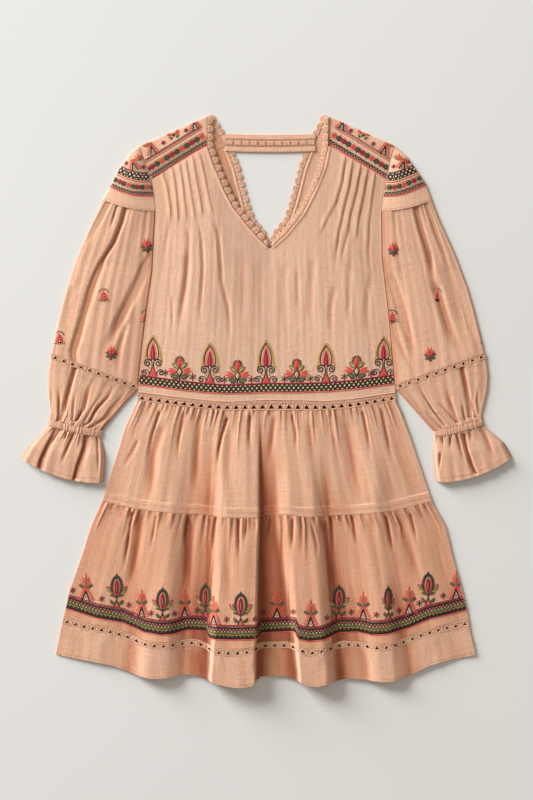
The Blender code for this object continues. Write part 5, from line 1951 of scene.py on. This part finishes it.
def section_route(rows, share):
    """A line across a sleeve's piece, at the share of the way down it."""
    read = sections(rows, np.array([share]))
    return np.stack(section_points(read, np.linspace(0.02, 0.98, 40)[None]), -1)[0]


def sew(name, target, routes, **sizes):
    """Lays stitches along the routes on the target."""
    work = Needlework()
    for route in routes:
        stitches(work, route, **sizes)
    work.lay(name, target)


# Camera, floor and light
VIEW_DISTANCE = 3.0
FRAME_HEIGHT = 1.28
SENSOR = 36.0
WINDOW_FROM = (-0.77, 0.64, 0.285)
WINDOW_DISTANCE = 10.0
WINDOW_SIZE = 0.46
WINDOW_BRIGHTNESS = 7.45
WINDOW_COLOUR = (0.985, 1.0, 1.0)
ROOM_BRIGHTNESS = 0.415
ROOM_COLOUR = (1.0, 0.90, 0.80, 1.0)
PAPER_DARK = (0.735, 0.74, 0.73)
PAPER_LIGHT = (0.755, 0.76, 0.75)
FLOOR_REACH = 4000.0


def stage_and_light():
    scene = bpy.context.scene
    scene.view_settings.view_transform = "Standard"
    camera = bpy.data.objects.new("camera", bpy.data.cameras.new("camera"))
    camera.data.sensor_width = SENSOR
    camera.data.lens = SENSOR * VIEW_DISTANCE / FRAME_HEIGHT
    camera.location = (0.0, 0.0, VIEW_DISTANCE)
    scene.collection.objects.link(camera)
    scene.camera = camera
    made, tree, shader = new_material("floor", roughness=0.9, sheen=0.0)
    paper = noise(tree, (1.2, 1.2, 1.2), 2.0, "Object")
    shade = colour_ramp(tree, paper, ((0.3, PAPER_DARK), (0.7, PAPER_LIGHT)))
    tree.links.new(shade, shader.inputs["Base Color"])
    corners = FLOOR_REACH * np.array([(-1, -1, 0), (1, -1, 0), (1, 1, 0), (-1, 1, 0)])
    floor = make_object("floor", corners, [np.array([[0, 1, 2, 3]])], [made])
    world = bpy.data.worlds.new("world")
    world.use_nodes = True
    background = world.node_tree.nodes["Background"]
    background.inputs["Color"].default_value = ROOM_COLOUR
    background.inputs["Strength"].default_value = ROOM_BRIGHTNESS
    scene.world = world
    window = bpy.data.lights.new("window", "AREA")
    window.size = WINDOW_DISTANCE * WINDOW_SIZE
    window.energy = WINDOW_BRIGHTNESS * math.pi * WINDOW_DISTANCE**2
    window.color = WINDOW_COLOUR
    obj = bpy.data.objects.new("window", window)
    towards = Vector(WINDOW_FROM).normalized()
    obj.location = towards * WINDOW_DISTANCE
    obj.rotation_euler = towards.to_track_quat("Z", "Y").to_euler()
    scene.collection.objects.link(obj)


def add_sleeve(which, tables, creases, ruffle_creases, seed):
    """All the cloth of one sleeve and its shoulder."""
    upper, lower, wrist, ruffle, cap, yoke = tables
    upper_top = sleeve_top(creases, 10, seed, 0.0, 0.0)
    lower_top = sleeve_top(creases, 22, seed + 10, 0.3, 1.0)
    return {
        "upper_sleeve": tube_shell("upper_sleeve", which, upper, (68, 110, 36), upper_top),
        "lower_sleeve": tube_shell("lower_sleeve", which, lower, (44, 110, 36), lower_top),
        "wrist": tube_shell("wrist_band", which, wrist, (8, 100, 24), wrist_top(seed + 20)),
        "ruffle": tube_shell("cuff_ruffle", which, ruffle, (30, 150, 40),
                             ruffle_top(ruffle_creases, seed + 30), RUFFLE_SLACK),
        "cap": add_cap(which, cap),
        "yoke": add_yoke(which, yoke),
    }


front_bodice, back_bodice = add_bodice()
front_upper = add_tier("upper_tier", LACE_FOOT, TIER, (361, 50), (46, 1.5, 0.5), 21, strip=True)[0]
front_tier, back_tier = add_tier("lower_tier", TIER, HEM_LACE_TOP, (401, 52), (44, 1.8, 0.34), 31)
front_hem = add_tier("hem_panel", HEM_LACE_FOOT, HEM, (361, 14), (20, 0.5, 1.0), 41)[0]
left_tables = (UPPER_LEFT, LOWER_LEFT, WRIST_LEFT, RUFFLE_LEFT, CAP_LEFT, YOKE_LEFT)
right_tables = (UPPER_RIGHT, LOWER_RIGHT, WRIST_RIGHT, RUFFLE_RIGHT, CAP_RIGHT, YOKE_RIGHT)
sleeves = {
    "left": add_sleeve("left", left_tables, LEFT_SLEEVE_CREASES, LEFT_RUFFLE_CREASES, 5),
    "right": add_sleeve("right", right_tables, RIGHT_SLEEVE_CREASES, RIGHT_RUFFLE_CREASES, 6),
}
sew_on(waist_border(), "waist", front_bodice, back_bodice)
sew_on(hem_border(), "hem", front_tier, back_tier)
for which, pieces in sleeves.items():
    sew_on(yoke_work(which), "yoke_" + which, pieces["yoke"], pieces["yoke"])
    sew_on(cap_work(which), "cap_" + which, pieces["cap"], pieces["cap"])
    sew_on(sleeve_work(which), "sleeve_" + which, pieces["upper_sleeve"], pieces["upper_sleeve"])
body_lace("waist_lace", WAIST, LACE_FOOT, (0.62, 0.36, 0.84), BODICE_PUFF, (0.412, 0.0122))
body_lace("hem_lace", HEM_LACE_TOP, HEM_LACE_FOOT, (0.46, 0.30, 0.78), SKIRT_PUFF, (0.648, 0.0107))
sleeve_lace("left", LACE_LEFT)
sleeve_lace("right", LACE_RIGHT)
neck_lace("neck_lace_front_left", FRONT_NECK_LEFT, 1, FRONT_FLOOR, FRONT_WALL)
neck_lace("neck_lace_front_right", FRONT_NECK_RIGHT, -1, FRONT_FLOOR, FRONT_WALL)
neck_lace("neck_lace_back_left", BACK_NECK_LEFT, 1, 0.0, BACK_WALL)
neck_lace("neck_lace_back_right", BACK_NECK_RIGHT, -1, 0.0, BACK_WALL)
strap()
sewing = Needlework()
neck_binding(sewing, FRONT_NECK_LEFT[1:], 1)
neck_binding(sewing, FRONT_NECK_RIGHT[1:], -1)
sewing.ribbon(resample(seam_route(WAIST, 1.1), 2.0), 0.8, "cloth", 0.7, NARROW)
sewing.lay("bodice_front_stitches", front_bodice)
sewing = Needlework()
neck_binding(sewing, BACK_NECK_LEFT[1:], 1)
neck_binding(sewing, BACK_NECK_RIGHT[1:], -1)
sewing.lay("bodice_back_stitches", back_bodice)
sew("upper_tier_stitches", front_upper, [seam_route(TIER, 9.6), seam_route(TIER, 1.4)])
sew("hem_stitches", front_hem, [seam_route(HEM, 4.8)])
# Stitches on a sleeve's pieces: the piece, its tables, how far down it they are and their sizes
for kind, tables, shares, sizes in (
    ("ruffle", (RUFFLE_LEFT, RUFFLE_RIGHT), (0.93,), {}),
    ("wrist", (WRIST_LEFT, WRIST_RIGHT), (0.2, 0.8), {"length": 1.2, "pitch": 2.2}),
    ("cap", (CAP_LEFT, CAP_RIGHT), (0.965,), {}),
):
    for which, rows in zip(sleeves, tables):
        routes = [section_route(rows, share) for share in shares]
        sew(kind + "_stitches_" + which, sleeves[which][kind], routes, **sizes)
stage_and_light()
